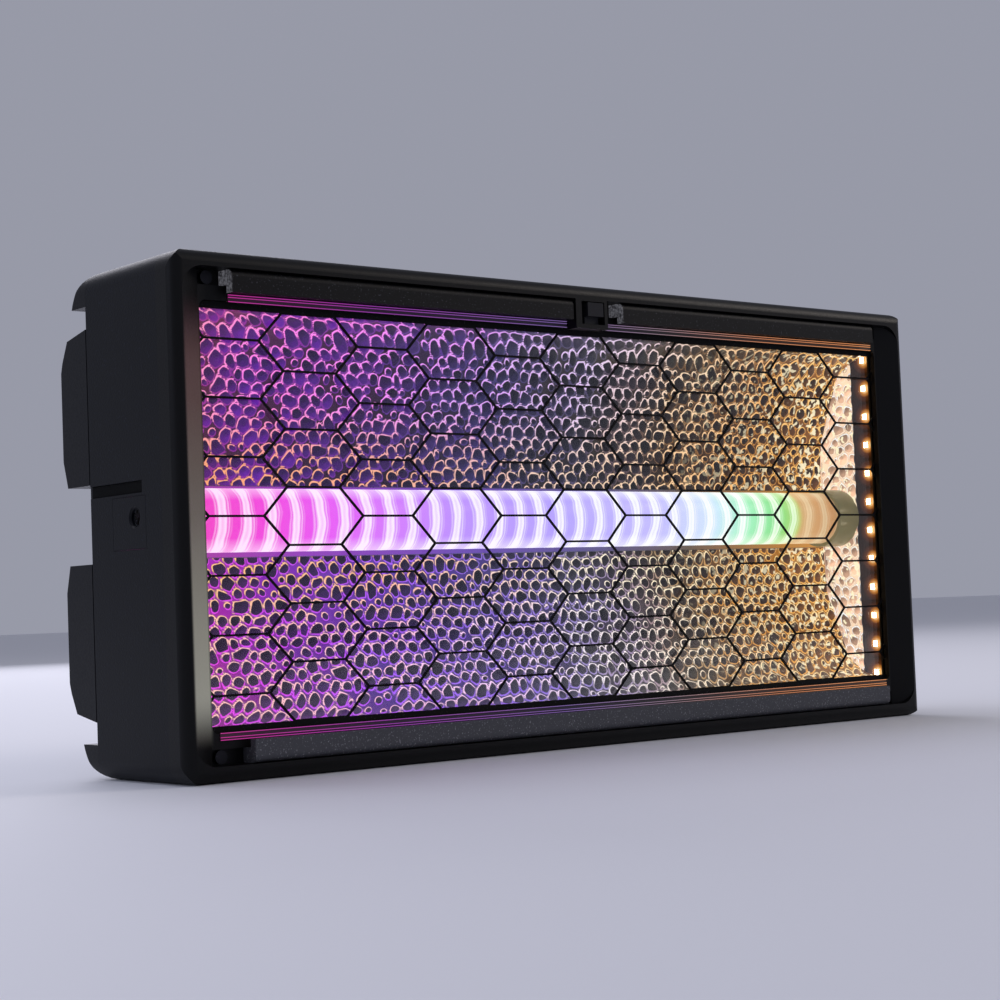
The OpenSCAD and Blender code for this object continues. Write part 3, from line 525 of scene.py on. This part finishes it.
def close_sheet(piece, thickness_mm, front):
    """Gives a sheet its wall, behind the face whose normals point along front.

    A closed skin, whose normals already point out, has a front of zero.
    """
    only(piece)
    normals = sum((p.normal * p.area for p in piece.data.polygons), Vector())
    if normals.dot(Vector(front)) < 0:
        bpy.ops.object.mode_set(mode="EDIT")
        bpy.ops.mesh.select_all(action="SELECT")
        bpy.ops.mesh.flip_normals()
        bpy.ops.object.mode_set(mode="OBJECT")
    wall = piece.modifiers.new("wall", "SOLIDIFY")
    wall.thickness = thickness_mm * MM
    wall.offset = -1
    wall.material_offset = len(piece.data.materials) - 1
    wall.material_offset_rim = len(piece.data.materials) - 1
    bpy.ops.object.modifier_apply(modifier="wall")


def trough_half(name, side, seed, gap):
    """Half of the trough: a hammered sheet bent along the profile; side is 1 above, -1 below."""
    at, points, normal = path_points(TROUGH, FILLET, SHEET_STEP)
    columns = int(2 * HALF_RUN / SHEET_STEP) + 1
    x = np.linspace(-HALF_RUN, HALF_RUN, columns)
    # the sheet stretches where it bends forward, so its pebbles are longer there, and lean
    spread = np.where(at > ROOF_FROM, ROOF_FROM + (at - ROOF_FROM) * ROOF_STRETCH, at)
    u, s = np.meshgrid(x, spread)
    height, edge, lean_u, lean_s, luck = hammer(u - PEBBLE_LEAN * points[:, 0][:, None], s, seed, gap)
    fade = np.clip(np.minimum(HALF_RUN - np.abs(u), 2) / 2, 0, 1)
    v = points[:, 0][:, None] + normal[:, 0][:, None] * height * fade
    w = points[:, 1][:, None] + normal[:, 1][:, None] * height * fade
    places = np.stack([u, v, w * side], 2) * MM
    places[..., 1] += GUARD_Y
    places[..., 2] += MID_Z
    data = np.stack([edge, lean_u, lean_s * side], 2)
    return grid_piece(name, len(at), columns, places, data, luck)


def end_wall(name, side, seed):
    """Hammered wall that closes the trough at one end, cut to the trough's outline."""
    at, points, normal = path_points(TROUGH, FILLET, SHEET_STEP)
    rows = np.linspace(18.6, 43, 26)
    height_at = np.interp(rows, points[::-1, 0], points[::-1, 1])
    share = np.linspace(-1, 1, 171)
    v = np.repeat(rows[:, None], len(share), 1)
    w = share[None] * height_at[:, None]
    height, edge, lean_v, lean_w, luck = hammer(v, w, seed, 0.2)
    x = side * (HALF_RUN - 0.1 - height)
    places = np.stack([x, v, w], 2) * MM
    places[..., 1] += GUARD_Y
    places[..., 2] += MID_Z
    return grid_piece(name, len(rows), len(share), places, np.stack([edge, -lean_v, lean_w], 2), luck)


def hammered_aluminium(name, colours, gap_near, gap_far, glint_from):
    """Anodised aluminium hammered over pebbles, with the tube's light painted on it: painted bright rims
    round dark painted reflections.

    Each list of colours runs along the trough, because the tube's light changes along it. The
    gaps' light changes away from the tube. Past glint_from, as a share of the length, the sheet
    glitters with the end LEDs' light.
    """
    m, tree, shader = material(name)
    place = add(tree, "ShaderNodeTexCoord").outputs["Object"]
    axes = add(tree, "ShaderNodeSeparateXYZ", {"Vector": place})
    along = add(tree, "ShaderNodeMapRange", {"Value": axes.outputs["X"]},
                {"From Min": -HALF_RUN * MM, "From Max": HALF_RUN * MM})
    drift = add(tree, "ShaderNodeTexNoise", {"Vector": place}, {"Scale": 26.0, "Detail": 2.0})
    drifted = add(tree, "ShaderNodeMath", {0: drift.outputs["Fac"], 2: along.outputs["Result"]},
                  {1: 0.16}, operation="MULTIPLY_ADD")
    at = add(tree, "ShaderNodeMath", {0: drifted.outputs["Value"]}, {1: 0.08}, operation="SUBTRACT")
    data = add(tree, "ShaderNodeAttribute", attribute_name="hammer")
    parts = add(tree, "ShaderNodeSeparateXYZ", {"Vector": data.outputs["Vector"]})
    pebble = add(tree, "ShaderNodeAttribute", attribute_name="pebble")
    edge, luck = parts.outputs["X"], pebble.outputs["Fac"]
    spread = {}
    for key, listed in colours.items():
        stops = [(k / (len(listed) - 1), c) for k, c in enumerate(listed)]
        ramp = add(tree, "ShaderNodeValToRGB", {"Fac": at.outputs["Value"]}, stops=stops)
        spread[key] = ramp.outputs["Color"]
    # painted highlight: a thin bright line just inside the pebble's edge, stronger on the side that faces
    # the light
    rise = add(tree, "ShaderNodeMapRange", {"Value": edge}, {"From Min": -0.75, "From Max": -0.45},
               interpolation_type="SMOOTHSTEP")
    fall = add(tree, "ShaderNodeMapRange", {"Value": edge},
               {"From Min": -0.3, "From Max": -0.02, "To Min": 1.0, "To Max": 0.0},
               interpolation_type="SMOOTHSTEP")
    band = add(tree, "ShaderNodeMath", {0: rise.outputs["Result"], 1: fall.outputs["Result"]},
               operation="MULTIPLY")
    facing = add(tree, "ShaderNodeMath", {0: parts.outputs["Y"], 2: parts.outputs["Z"]}, {1: -0.4},
                 operation="MULTIPLY_ADD")
    upper = add(tree, "ShaderNodeMapRange", {"Value": facing.outputs["Value"]},
                {"From Min": -0.25, "From Max": 0.4, "To Min": 0.0}, interpolation_type="SMOOTHSTEP")
    lower = add(tree, "ShaderNodeMapRange", {"Value": facing.outputs["Value"]},
                {"From Min": 0.2, "From Max": -0.5}, interpolation_type="SMOOTHSTEP")
    outside = add(tree, "ShaderNodeMapRange", {"Value": edge}, {"From Min": -0.22, "From Max": 0.06},
                  interpolation_type="SMOOTHSTEP")
    # pebbles differ at random, and painted shade makes each lighter towards its lower side
    varied = add(tree, "ShaderNodeMapRange", {"Value": luck}, {"To Min": 0.3, "To Max": 1.35})
    shade = add(tree, "ShaderNodeMapRange", {"Value": facing.outputs["Value"]},
                {"From Min": -1.0, "From Max": 1.0, "To Min": 1.3, "To Max": 0.6})
    lift = add(tree, "ShaderNodeMath", {0: varied.outputs["Result"], 1: shade.outputs["Result"]},
               operation="MULTIPLY")
    mirror = add(tree, "ShaderNodeMix", {"A": spread["pit"], "B": lift.outputs["Value"]},
                 {"Factor": 1.0}, data_type="RGBA", blend_type="MULTIPLY")
    height = add(tree, "ShaderNodeMath", {0: axes.outputs["Z"]}, {1: MID_Z}, operation="SUBTRACT")
    away = add(tree, "ShaderNodeMath", {0: height.outputs["Value"]}, operation="ABSOLUTE")
    fade = add(tree, "ShaderNodeMapRange", {"Value": away.outputs["Value"]},
               {"From Min": 15 * MM, "From Max": 82 * MM, "To Min": gap_near, "To Max": gap_far})
    seam = add(tree, "ShaderNodeMix", {"A": spread["gap"], "B": fade.outputs["Result"]},
               {"Factor": 1.0}, data_type="RGBA", blend_type="MULTIPLY")
    lit = add(tree, "ShaderNodeMix", {"Factor": outside.outputs["Result"], "A": mirror.outputs["Result"],
              "B": seam.outputs["Result"]}, data_type="RGBA").outputs["Result"]
    tall = add(tree, "ShaderNodeMapRange", {"Value": away.outputs["Value"]},
               {"From Min": 20 * MM, "From Max": 58 * MM}, interpolation_type="SMOOTHSTEP")
    top = add(tree, "ShaderNodeMix", {"Factor": tall.outputs["Result"], "A": spread["rim_near"],
              "B": spread["rim_high"]}, data_type="RGBA").outputs["Result"]
    for mask, rim in ((lower, spread["rim_low"]), (upper, top)):
        amount = add(tree, "ShaderNodeMath", {0: band.outputs["Value"], 1: mask.outputs["Result"]},
                     operation="MULTIPLY")
        lit = add(tree, "ShaderNodeMix", {"Factor": amount.outputs["Value"], "A": lit,
                  "B": rim}, data_type="RGBA").outputs["Result"]
    # glitter of the end LEDs
    sparkle = add(tree, "ShaderNodeTexNoise", {"Vector": place}, {"Scale": 330.0, "Detail": 1.0})
    spots = add(tree, "ShaderNodeMapRange", {"Value": sparkle.outputs["Fac"]},
                {"From Min": 0.57, "From Max": 0.66}, interpolation_type="SMOOTHSTEP")
    near_end = add(tree, "ShaderNodeMapRange", {"Value": along.outputs["Result"]},
                   {"From Min": glint_from, "From Max": 1.0})
    glint = add(tree, "ShaderNodeMath", {0: spots.outputs["Result"], 1: near_end.outputs["Result"]},
                operation="MULTIPLY")
    bright = add(tree, "ShaderNodeMix", {"Factor": glint.outputs["Value"], "A": lit}, data_type="RGBA")
    bright.inputs["B"].default_value = srgb("#fff0c8")
    tree.links.new(bright.outputs["Result"], shader.inputs["Emission Color"])
    dim = add(tree, "ShaderNodeMix", {"A": lit}, {"Factor": 0.9}, data_type="RGBA")
    dim.inputs["B"].default_value = srgb("#0c0a0e")
    tree.links.new(dim.outputs["Result"], shader.inputs["Base Color"])
    shader.inputs["Emission Strength"].default_value = 1.12
    shader.inputs["Metallic"].default_value = 1.0
    shader.inputs["Roughness"].default_value = 0.3
    return m


# painted light on the hammered sheets: rims are painted highlights, pits painted reflections and gaps
# painted glow of the tube and end LEDs
ABOVE_TUBE = {
    "rim_high": ["#ff94b0", "#ff80e4", "#f48cf8", "#dca4f8", "#e4ccf0", "#f8d8b8", "#fcbc70", "#ffcc78"],
    "rim_near": ["#ffa868", "#ffa47c", "#f8b090", "#ecb8b0", "#f4d4c0", "#fcd0a0", "#fcb868", "#ffc468"],
    "rim_low": ["#a02c80", "#842498", "#5c2c90", "#443878", "#4c4460", "#705030", "#a06828", "#e8a048"],
    "pit": ["#5a0a68", "#480c78", "#341458", "#221c44", "#1a1826", "#20140e", "#301c08", "#54300c"],
    "gap": ["#601c3c", "#401440", "#2c1436", "#281e3c", "#2c2626", "#382614", "#54320c", "#8c5418"],
}
BELOW_TUBE = {
    "rim_high": ["#ffc8b0", "#ffc0cc", "#fcc0e4", "#f0ccf4", "#f4e8f4", "#fce8d0", "#ffd89c", "#ffd48c"],
    "rim_near": ["#ffc07c", "#ffc088", "#ffbc98", "#f8ccc0", "#fcecdc", "#ffecc8", "#ffd088", "#ffdc90"],
    "rim_low": ["#f03ce0", "#cc44ec", "#a458f4", "#8c68dc", "#9c8cc4", "#b09068", "#e09838", "#ffbc60"],
    "pit": ["#34143c", "#301048", "#241240", "#221c3c", "#282632", "#281c14", "#3c240c", "#6c4014"],
    "gap": ["#bc14a4", "#7c1ca8", "#54309c", "#403078", "#403a54", "#44341f", "#744814", "#c07c28"],
}
END_WALL = {
    "rim_high": ["#fff8f0", "#ffffff"],
    "rim_near": ["#fff0d8", "#fff8ec"],
    "rim_low": ["#ffb888", "#ffe4c8"],
    "pit": ["#a06048", "#b07890", "#a86c50", "#e0b090"],
    "gap": ["#e0a078", "#e8b0a8", "#f0b888", "#ffdcb8"],
}

above_hammer = hammered_aluminium("hammered_aluminium_above_tube", ABOVE_TUBE, 0.6, 1.1, 0.72)
below_hammer = hammered_aluminium("hammered_aluminium_below_tube", BELOW_TUBE, 1.1, 0.55, 0.72)
end_hammer = hammered_aluminium("hammered_aluminium_end", END_WALL, 1.0, 1.0, 0.2)
rolled = metal("rolled_anodised_aluminium", "#a8a9ad", 0.35, (0.05, 1, 1), 0.6, 0.01)

for name, side, seed, gap, coat, node in (
        ("hammered_trough_upper", 1, 3, 0.06, above_hammer, "reflector_upper"),
        ("hammered_trough_lower", -1, 8, 0.16, below_hammer, "reflector_lower")):
    piece = trough_half(name, side, seed, gap)
    piece.data.materials.append(coat)
    piece.data.materials.append(rolled)
    close_sheet(piece, 0.8, (0, -1, -side))
    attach(piece, "housing")
    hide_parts(node)

for name, side, seed, node in (("hammered_end_left", -1, 5, "reflector_end_left"),
                               ("hammered_end_right", 1, 6, "reflector_end_right")):
    piece = end_wall(name, side, seed)
    piece.data.materials.append(end_hammer)
    piece.data.materials.append(rolled)
    close_sheet(piece, 0.8, (-side, 0, 0))
    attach(piece, "housing")
    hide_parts(node)


# ---- light tube ----

TUBE_R = 13.5
TUBE_AXIS = 33
TUBE_HALF = 204
LIT_END = 169
ARC_PITCH = 12.4
ARC_BOW = 3.4
TUBE_FLAT = 8
TUBE_COLUMNS = 641
SCALLOP = 0.3


def light_tube():
    """Clear tube with a scallop at each light source: the scallops' edges are the bright bows."""
    x = np.linspace(-TUBE_HALF, TUBE_HALF, TUBE_COLUMNS)
    # the tube's front is round, and its back is flat, on the light bar
    back = math.asin(TUBE_FLAT / TUBE_R)
    arc = np.linspace(-math.pi / 2 - back, math.pi / 2 + back, 41)
    v_out = np.concatenate([-np.cos(arc), np.full(6, TUBE_FLAT / TUBE_R)])
    end_w = math.sin(arc[-1])
    w_out = np.concatenate([np.sin(arc), np.linspace(end_w, -end_w, 8)[1:-1]])
    v_out, w_out = np.append(v_out, v_out[0]), np.append(w_out, w_out[0])
    xx, vv = np.meshgrid(x, v_out)
    ww = np.repeat(w_out[:, None], TUBE_COLUMNS, 1)
    bow = -ARC_BOW * np.clip(-vv, 0, 1)
    phase = ((xx - bow) / ARC_PITCH) % 1.0
    front = np.clip(-vv * 2, 0, 1)
    crest = np.exp(-((phase - 0.5) / 0.2) ** 2) * front
    r = TUBE_R - SCALLOP * (1 - crest * np.clip((LIT_END - xx) / 2, 0, 1)) * front
    places = np.stack([xx, TUBE_AXIS + r * vv, r * ww], 2) * MM
    places[..., 1] += GUARD_Y
    places[..., 2] += MID_Z
    data = np.stack([(xx - bow) / ARC_PITCH, ww, vv], 2)
    piece = grid_piece("light_tube", len(v_out), TUBE_COLUMNS, places, data)
    only(piece)
    bpy.ops.object.mode_set(mode="EDIT")
    bpy.ops.mesh.select_all(action="SELECT")
    bpy.ops.mesh.remove_doubles(threshold=0.00001)
    bpy.ops.mesh.normals_make_consistent(inside=False)
    bpy.ops.object.mode_set(mode="OBJECT")
    return piece


def lit_polycarbonate():
    """Extruded polycarbonate over a row of coloured LEDs: even glow, and a bright bow from each lens."""
    m, tree, shader = material("extruded_lit_polycarbonate")
    place = add(tree, "ShaderNodeTexCoord").outputs["Object"]
    axes = add(tree, "ShaderNodeSeparateXYZ", {"Vector": place})
    along = add(tree, "ShaderNodeMapRange", {"Value": axes.outputs["X"]},
                {"From Min": -TUBE_HALF * MM, "From Max": TUBE_HALF * MM})
    glow = add(tree, "ShaderNodeValToRGB", {"Fac": along.outputs["Result"]}, stops=[
        (0.0, "#f028b8"), (0.1, "#ee30d8"), (0.18, "#e44cf0"), (0.26, "#d070f8"), (0.35, "#b888fc"),
        (0.5, "#b09cff"), (0.66, "#c0b8ff"), (0.75, "#d0e4ff"), (0.81, "#a0f0c0"), (0.87, "#78dc78"),
        (0.905, "#b0d060"), (0.915, "#d0a468"), (0.96, "#c88c50"), (1.0, "#a88860")])
    arcs = add(tree, "ShaderNodeValToRGB", {"Fac": along.outputs["Result"]}, stops=[
        (0.0, "#ffd8fc"), (0.3, "#fcf0ff"), (0.6, "#fcfcff"), (0.82, "#ffffff"), (0.9, "#e8ffd8"),
        (0.915, "#e8c898"), (1.0, "#c8b088")])
    data = add(tree, "ShaderNodeAttribute", attribute_name="hammer")
    parts = add(tree, "ShaderNodeSeparateXYZ", {"Vector": data.outputs["Vector"]})
    waver = add(tree, "ShaderNodeTexNoise", {"Vector": place}, {"Scale": 90.0, "Detail": 1.0})
    shifted = add(tree, "ShaderNodeMath", {0: waver.outputs["Fac"], 2: parts.outputs["X"]}, {1: 0.25},
                  operation="MULTIPLY_ADD")
    phase = add(tree, "ShaderNodeMath", {0: shifted.outputs["Value"]}, operation="FRACT")
    bow = add(tree, "ShaderNodeValToRGB", {"Fac": phase.outputs["Value"]}, stops=[
        (0.0, "#202020"), (0.14, "#101010"), (0.2, "#b8b8b8"), (0.25, "#383838"), (0.34, "#ffffff"),
        (0.44, "#d0d0d0"), (0.56, "#ffffff"), (0.63, "#484848"), (0.69, "#d0d0d0"), (0.74, "#383838"),
        (0.79, "#808080"), (0.84, "#181818"), (1.0, "#202020")])
    # the bows widen towards the tube's edges
    edge = add(tree, "ShaderNodeMath", {0: parts.outputs["Y"]}, operation="ABSOLUTE")
    wide = add(tree, "ShaderNodeMapRange", {"Value": edge.outputs["Value"]},
               {"From Min": 0.6, "From Max": 1.0, "To Min": 0.0, "To Max": 0.5})
    amount = add(tree, "ShaderNodeMath", {0: bow.outputs["Color"], 1: wide.outputs["Result"]},
                 operation="ADD", use_clamp=True)
    lit = add(tree, "ShaderNodeMix", {"Factor": amount.outputs["Value"], "A": glow.outputs["Color"],
              "B": arcs.outputs["Color"]}, data_type="RGBA")
    tree.links.new(lit.outputs["Result"], shader.inputs["Emission Color"])
    shader.inputs["Emission Strength"].default_value = 1.1
    shader.inputs["Base Color"].default_value = srgb("#60585e")
    shader.inputs["Roughness"].default_value = 0.35
    shader.inputs["Specular IOR Level"].default_value = 0.15
    shader.inputs["IOR"].default_value = 1.58
    return m


tube = light_tube()
tube.data.materials.append(lit_polycarbonate())
close_sheet(tube, 1.2, (0, 0, 0))
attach(tube, "housing")
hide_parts("strobe_tube")


# ---- LEDs ----

LED_PITCH = 15.1 * MM
LED_SIZE = 3.5 * MM
LED_RISE = 1.3 * MM
LED_FRAME = 0.35 * MM
LED_SINK = 0.15 * MM
LED_COUNT = 12
BOARD_T = 1.6 * MM


def phosphor(name, colour, power):
    """Warm phosphor under clear silicone, lit: far brighter than anything round it."""
    m, tree, shader = material(name)
    place = add(tree, "ShaderNodeTexCoord").outputs["Object"]
    grain = add(tree, "ShaderNodeTexNoise", {"Vector": place}, {"Scale": 900.0})
    tone = add(tree, "ShaderNodeMix", {"Factor": grain.outputs["Fac"]}, data_type="RGBA")
    tone.inputs["A"].default_value = srgb(colour)
    tone.inputs["B"].default_value = srgb("#fff8ec")
    tree.links.new(tone.outputs["Result"], shader.inputs["Emission Color"])
    shader.inputs["Emission Strength"].default_value = power
    shader.inputs["Base Color"].default_value = srgb("#f4d890")
    shader.inputs["Roughness"].default_value = 0.3
    return m


def lit_board():
    """Dark solder mask beside the end LEDs: it glows orange close round each one."""
    m, tree, shader = material("dark_solder_mask_by_leds")
    place = add(tree, "ShaderNodeTexCoord").outputs["Object"]
    axes = add(tree, "ShaderNodeSeparateXYZ", {"Vector": place})
    led_low, led_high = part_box("side_leds")
    low_led = led_low.z + LED_SIZE / 2
    mid_led = (led_low.y + led_high.y) / 2
    steps = add(tree, "ShaderNodeMapRange", {"Value": axes.outputs["Z"]},
                {"From Min": low_led - LED_PITCH / 2, "From Max": low_led + LED_PITCH / 2}, clamp=False)
    share = add(tree, "ShaderNodeMath", {0: steps.outputs["Result"]}, operation="FRACT")
    up = add(tree, "ShaderNodeMath", {0: share.outputs["Value"]}, {1: 0.5}, operation="SUBTRACT")
    across = add(tree, "ShaderNodeMapRange", {"Value": axes.outputs["Y"]},
                 {"From Min": mid_led, "From Max": mid_led + LED_PITCH}, clamp=False)
    spot = add(tree, "ShaderNodeCombineXYZ", {"X": up.outputs["Value"], "Y": across.outputs["Result"]})
    near = add(tree, "ShaderNodeVectorMath", {0: spot.outputs["Vector"]}, operation="LENGTH")
    halo = add(tree, "ShaderNodeValToRGB", {"Fac": near.outputs["Value"]}, stops=[
        (0.12, "#ffdca0"), (0.19, "#d88838"), (0.3, "#5a2c10"), (0.5, "#1c0e06")])
    tree.links.new(halo.outputs["Color"], shader.inputs["Emission Color"])
    shader.inputs["Emission Strength"].default_value = 0.9
    grain = add(tree, "ShaderNodeTexNoise", {"Vector": place}, {"Scale": 700.0})
    tone = add(tree, "ShaderNodeValToRGB", {"Fac": grain.outputs["Fac"]},
               stops=[(0.3, "#1c120c"), (0.7, "#2c1c12")])
    tree.links.new(tone.outputs["Color"], shader.inputs["Base Color"])
    shader.inputs["Roughness"].default_value = 0.4
    shader.inputs["Specular IOR Level"].default_value = 0.15
    return m


def led_package(name, face_x, side, z):
    """One surface-mount LED: a white frame round a sunk square of phosphor."""
    deselect()
    bpy.ops.mesh.primitive_cube_add(size=1, location=(face_x - side * LED_RISE / 2, LED_Y, z),
                                    scale=(LED_RISE, LED_SIZE, LED_SIZE))
    piece = bpy.context.object
    piece.name = name
    apply_place(piece)
    piece.data.materials.append(led_frame)
    piece.data.materials.append(warm)
    inner = face_x - side * LED_RISE
    bpy.ops.object.mode_set(mode="EDIT")
    bpy.ops.mesh.select_all(action="DESELECT")
    bpy.ops.mesh.select_mode(type="FACE")
    bpy.ops.object.mode_set(mode="OBJECT")
    for face in piece.data.polygons:
        face.select = abs(face.center.x - inner) < 0.0001
    bpy.ops.object.mode_set(mode="EDIT")
    bpy.ops.mesh.inset(thickness=LED_FRAME)
    bpy.ops.mesh.extrude_region_move(TRANSFORM_OT_translate={"value": (side * LED_SINK, 0, 0)})
    piece.active_material_index = 1
    bpy.ops.object.material_slot_assign()
    bpy.ops.object.mode_set(mode="OBJECT")
    return piece


def join(name, pieces):
    deselect()
    for p in pieces:
        p.select_set(True)
    bpy.context.view_layer.objects.active = pieces[0]
    bpy.ops.object.join()
    piece = bpy.context.object
    piece.name = name
    piece.data.name = name
    return piece


paint(lit_board(), "side_boards")
warm = phosphor("warm_phosphor", "#ffd8a0", 12.0)
led_frame = grained_plastic("moulded_led_frame", "#e8dcc0", 0.5, 0.4, 0.01)
# painted light: the white frame round each LED glows with the LED's light, though the frame is no lamp
glow_evenly(led_frame, "#ffb060", 1.0)
paint(phosphor("cool_phosphor", "#f0f0ff", 4.0), "tube_leds")

led_low, led_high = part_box("side_leds")
LED_Y = (led_low.y + led_high.y) / 2
for name, side in (("end_leds_left", -1), ("end_leds_right", 1)):
    face_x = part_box("side_boards")[1].x - BOARD_T
    made = [led_package(f"{name}_{k}", side * face_x, side, led_low.z + LED_SIZE / 2 + k * LED_PITCH)
            for k in range(LED_COUNT)]
    leds = join(name, made)
    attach(leds, "housing")
    if side == 1:
        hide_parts("side_leds")


# ---- window seals ----

SEAL_HALF = 203
SEAL_LOW, SEAL_HIGH = 86.4, 89.5
SEAL_BACK, SEAL_T, RIDGE_T = -3.0, 0.35, 0.45
RIDGES = (86.6, 88.3, 89.3)
RIDGE_HALF = 0.14
RIDGE_EDGE = 0.08
BESIDE_LATCH = ((-193, -10.5), (10, SEAL_HALF))


def box_piece(name, low, high):
    """A box from its low and high corners, in mm from the guard's centre."""
    low, high = Vector(low), Vector(high)
    deselect()
    place = (low + high) / 2 * MM + Vector((0, GUARD_Y, MID_Z))
    bpy.ops.mesh.primitive_cube_add(size=1, location=place, scale=(high - low) * MM)
    piece = bpy.context.object
    piece.name = name
    apply_place(piece)
    return piece


def bevel_edges(piece, width_mm, segments):
    only(piece)
    edge = piece.modifiers.new("edge", "BEVEL")
    edge.width = width_mm * MM
    edge.segments = segments
    bpy.ops.object.modifier_apply(modifier="edge")


def seal_material():
    """Extruded silicone lip: its ridges carry the coloured light that leaves the window."""
    m, tree, shader = material("extruded_silicone_lip")
    place = add(tree, "ShaderNodeTexCoord").outputs["Object"]
    axes = add(tree, "ShaderNodeSeparateXYZ", {"Vector": place})
    along = add(tree, "ShaderNodeMapRange", {"Value": axes.outputs["X"]},
                {"From Min": -SEAL_HALF * MM, "From Max": SEAL_HALF * MM})
    light = add(tree, "ShaderNodeValToRGB", {"Fac": along.outputs["Result"]}, stops=[
        (0.0, "#c02c90"), (0.2, "#9034a0"), (0.45, "#74589c"), (0.62, "#8a7480"), (0.8, "#c88058"),
        (1.0, "#e09058")])
    face = SEAL_BACK - SEAL_T
    deep = add(tree, "ShaderNodeMapRange", {"Value": axes.outputs["Y"]},
               {"From Min": GUARD_Y + face * MM, "From Max": GUARD_Y + (face - RIDGE_T * 0.6) * MM,
                "To Min": 0.035, "To Max": 1.0})
    tree.links.new(light.outputs["Color"], shader.inputs["Emission Color"])
    tree.links.new(deep.outputs["Result"], shader.inputs["Emission Strength"])
    grain = add(tree, "ShaderNodeTexNoise", {"Vector": place}, {"Scale": 600.0})
    tone = add(tree, "ShaderNodeValToRGB", {"Fac": grain.outputs["Fac"]},
               stops=[(0.3, "#0c0b0d"), (0.7, "#18161a")])
    tree.links.new(tone.outputs["Color"], shader.inputs["Base Color"])
    shader.inputs["Roughness"].default_value = 0.45
    return m


lip = seal_material()
for name, side, spans in (("window_lip_upper", 1, BESIDE_LATCH),
                          ("window_lip_lower", -1, ((-SEAL_HALF, SEAL_HALF),))):
    made = []
    for start, stop in spans:
        face = SEAL_BACK - SEAL_T
        base_w = sorted((side * SEAL_LOW, side * SEAL_HIGH))
        made.append(box_piece(name, (start, face, base_w[0]), (stop, SEAL_BACK, base_w[1])))
        for ridge_w in RIDGES:
            ridge = box_piece(f"{name}_ridge", (start, face - RIDGE_T, side * ridge_w - RIDGE_HALF),
                              (stop, face, side * ridge_w + RIDGE_HALF))
            bevel_edges(ridge, RIDGE_EDGE, 2)
            made.append(ridge)
    seal = join(name, made)
    seal.data.materials.append(lip)
    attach(seal, "housing")


# ---- side grooves: dark sheets as painted shade ----

GROOVE_LOW, GROOVE_HIGH = (18.6, 10.8), (61.0, 15.6)
GROOVE_X = (221.15, 221.6)
# painted shade: a near-black sheet just inside each side groove stands in for the shadow in the groove
groove_shade_coat = grained_plastic("painted_shade_groove_black", "#020202", 0.6, 0.9, 0.05)
for name, side in (("groove_shade_sheet_left", -1), ("groove_shade_sheet_right", 1)):
    x = sorted(side * face for face in GROOVE_X)
    strip = box_piece(name, (x[0], *GROOVE_LOW), (x[1], *GROOVE_HIGH))
    bevel_edges(strip, 0.15, 2)
    strip.data.materials.append(groove_shade_coat)
    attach(strip, "housing")
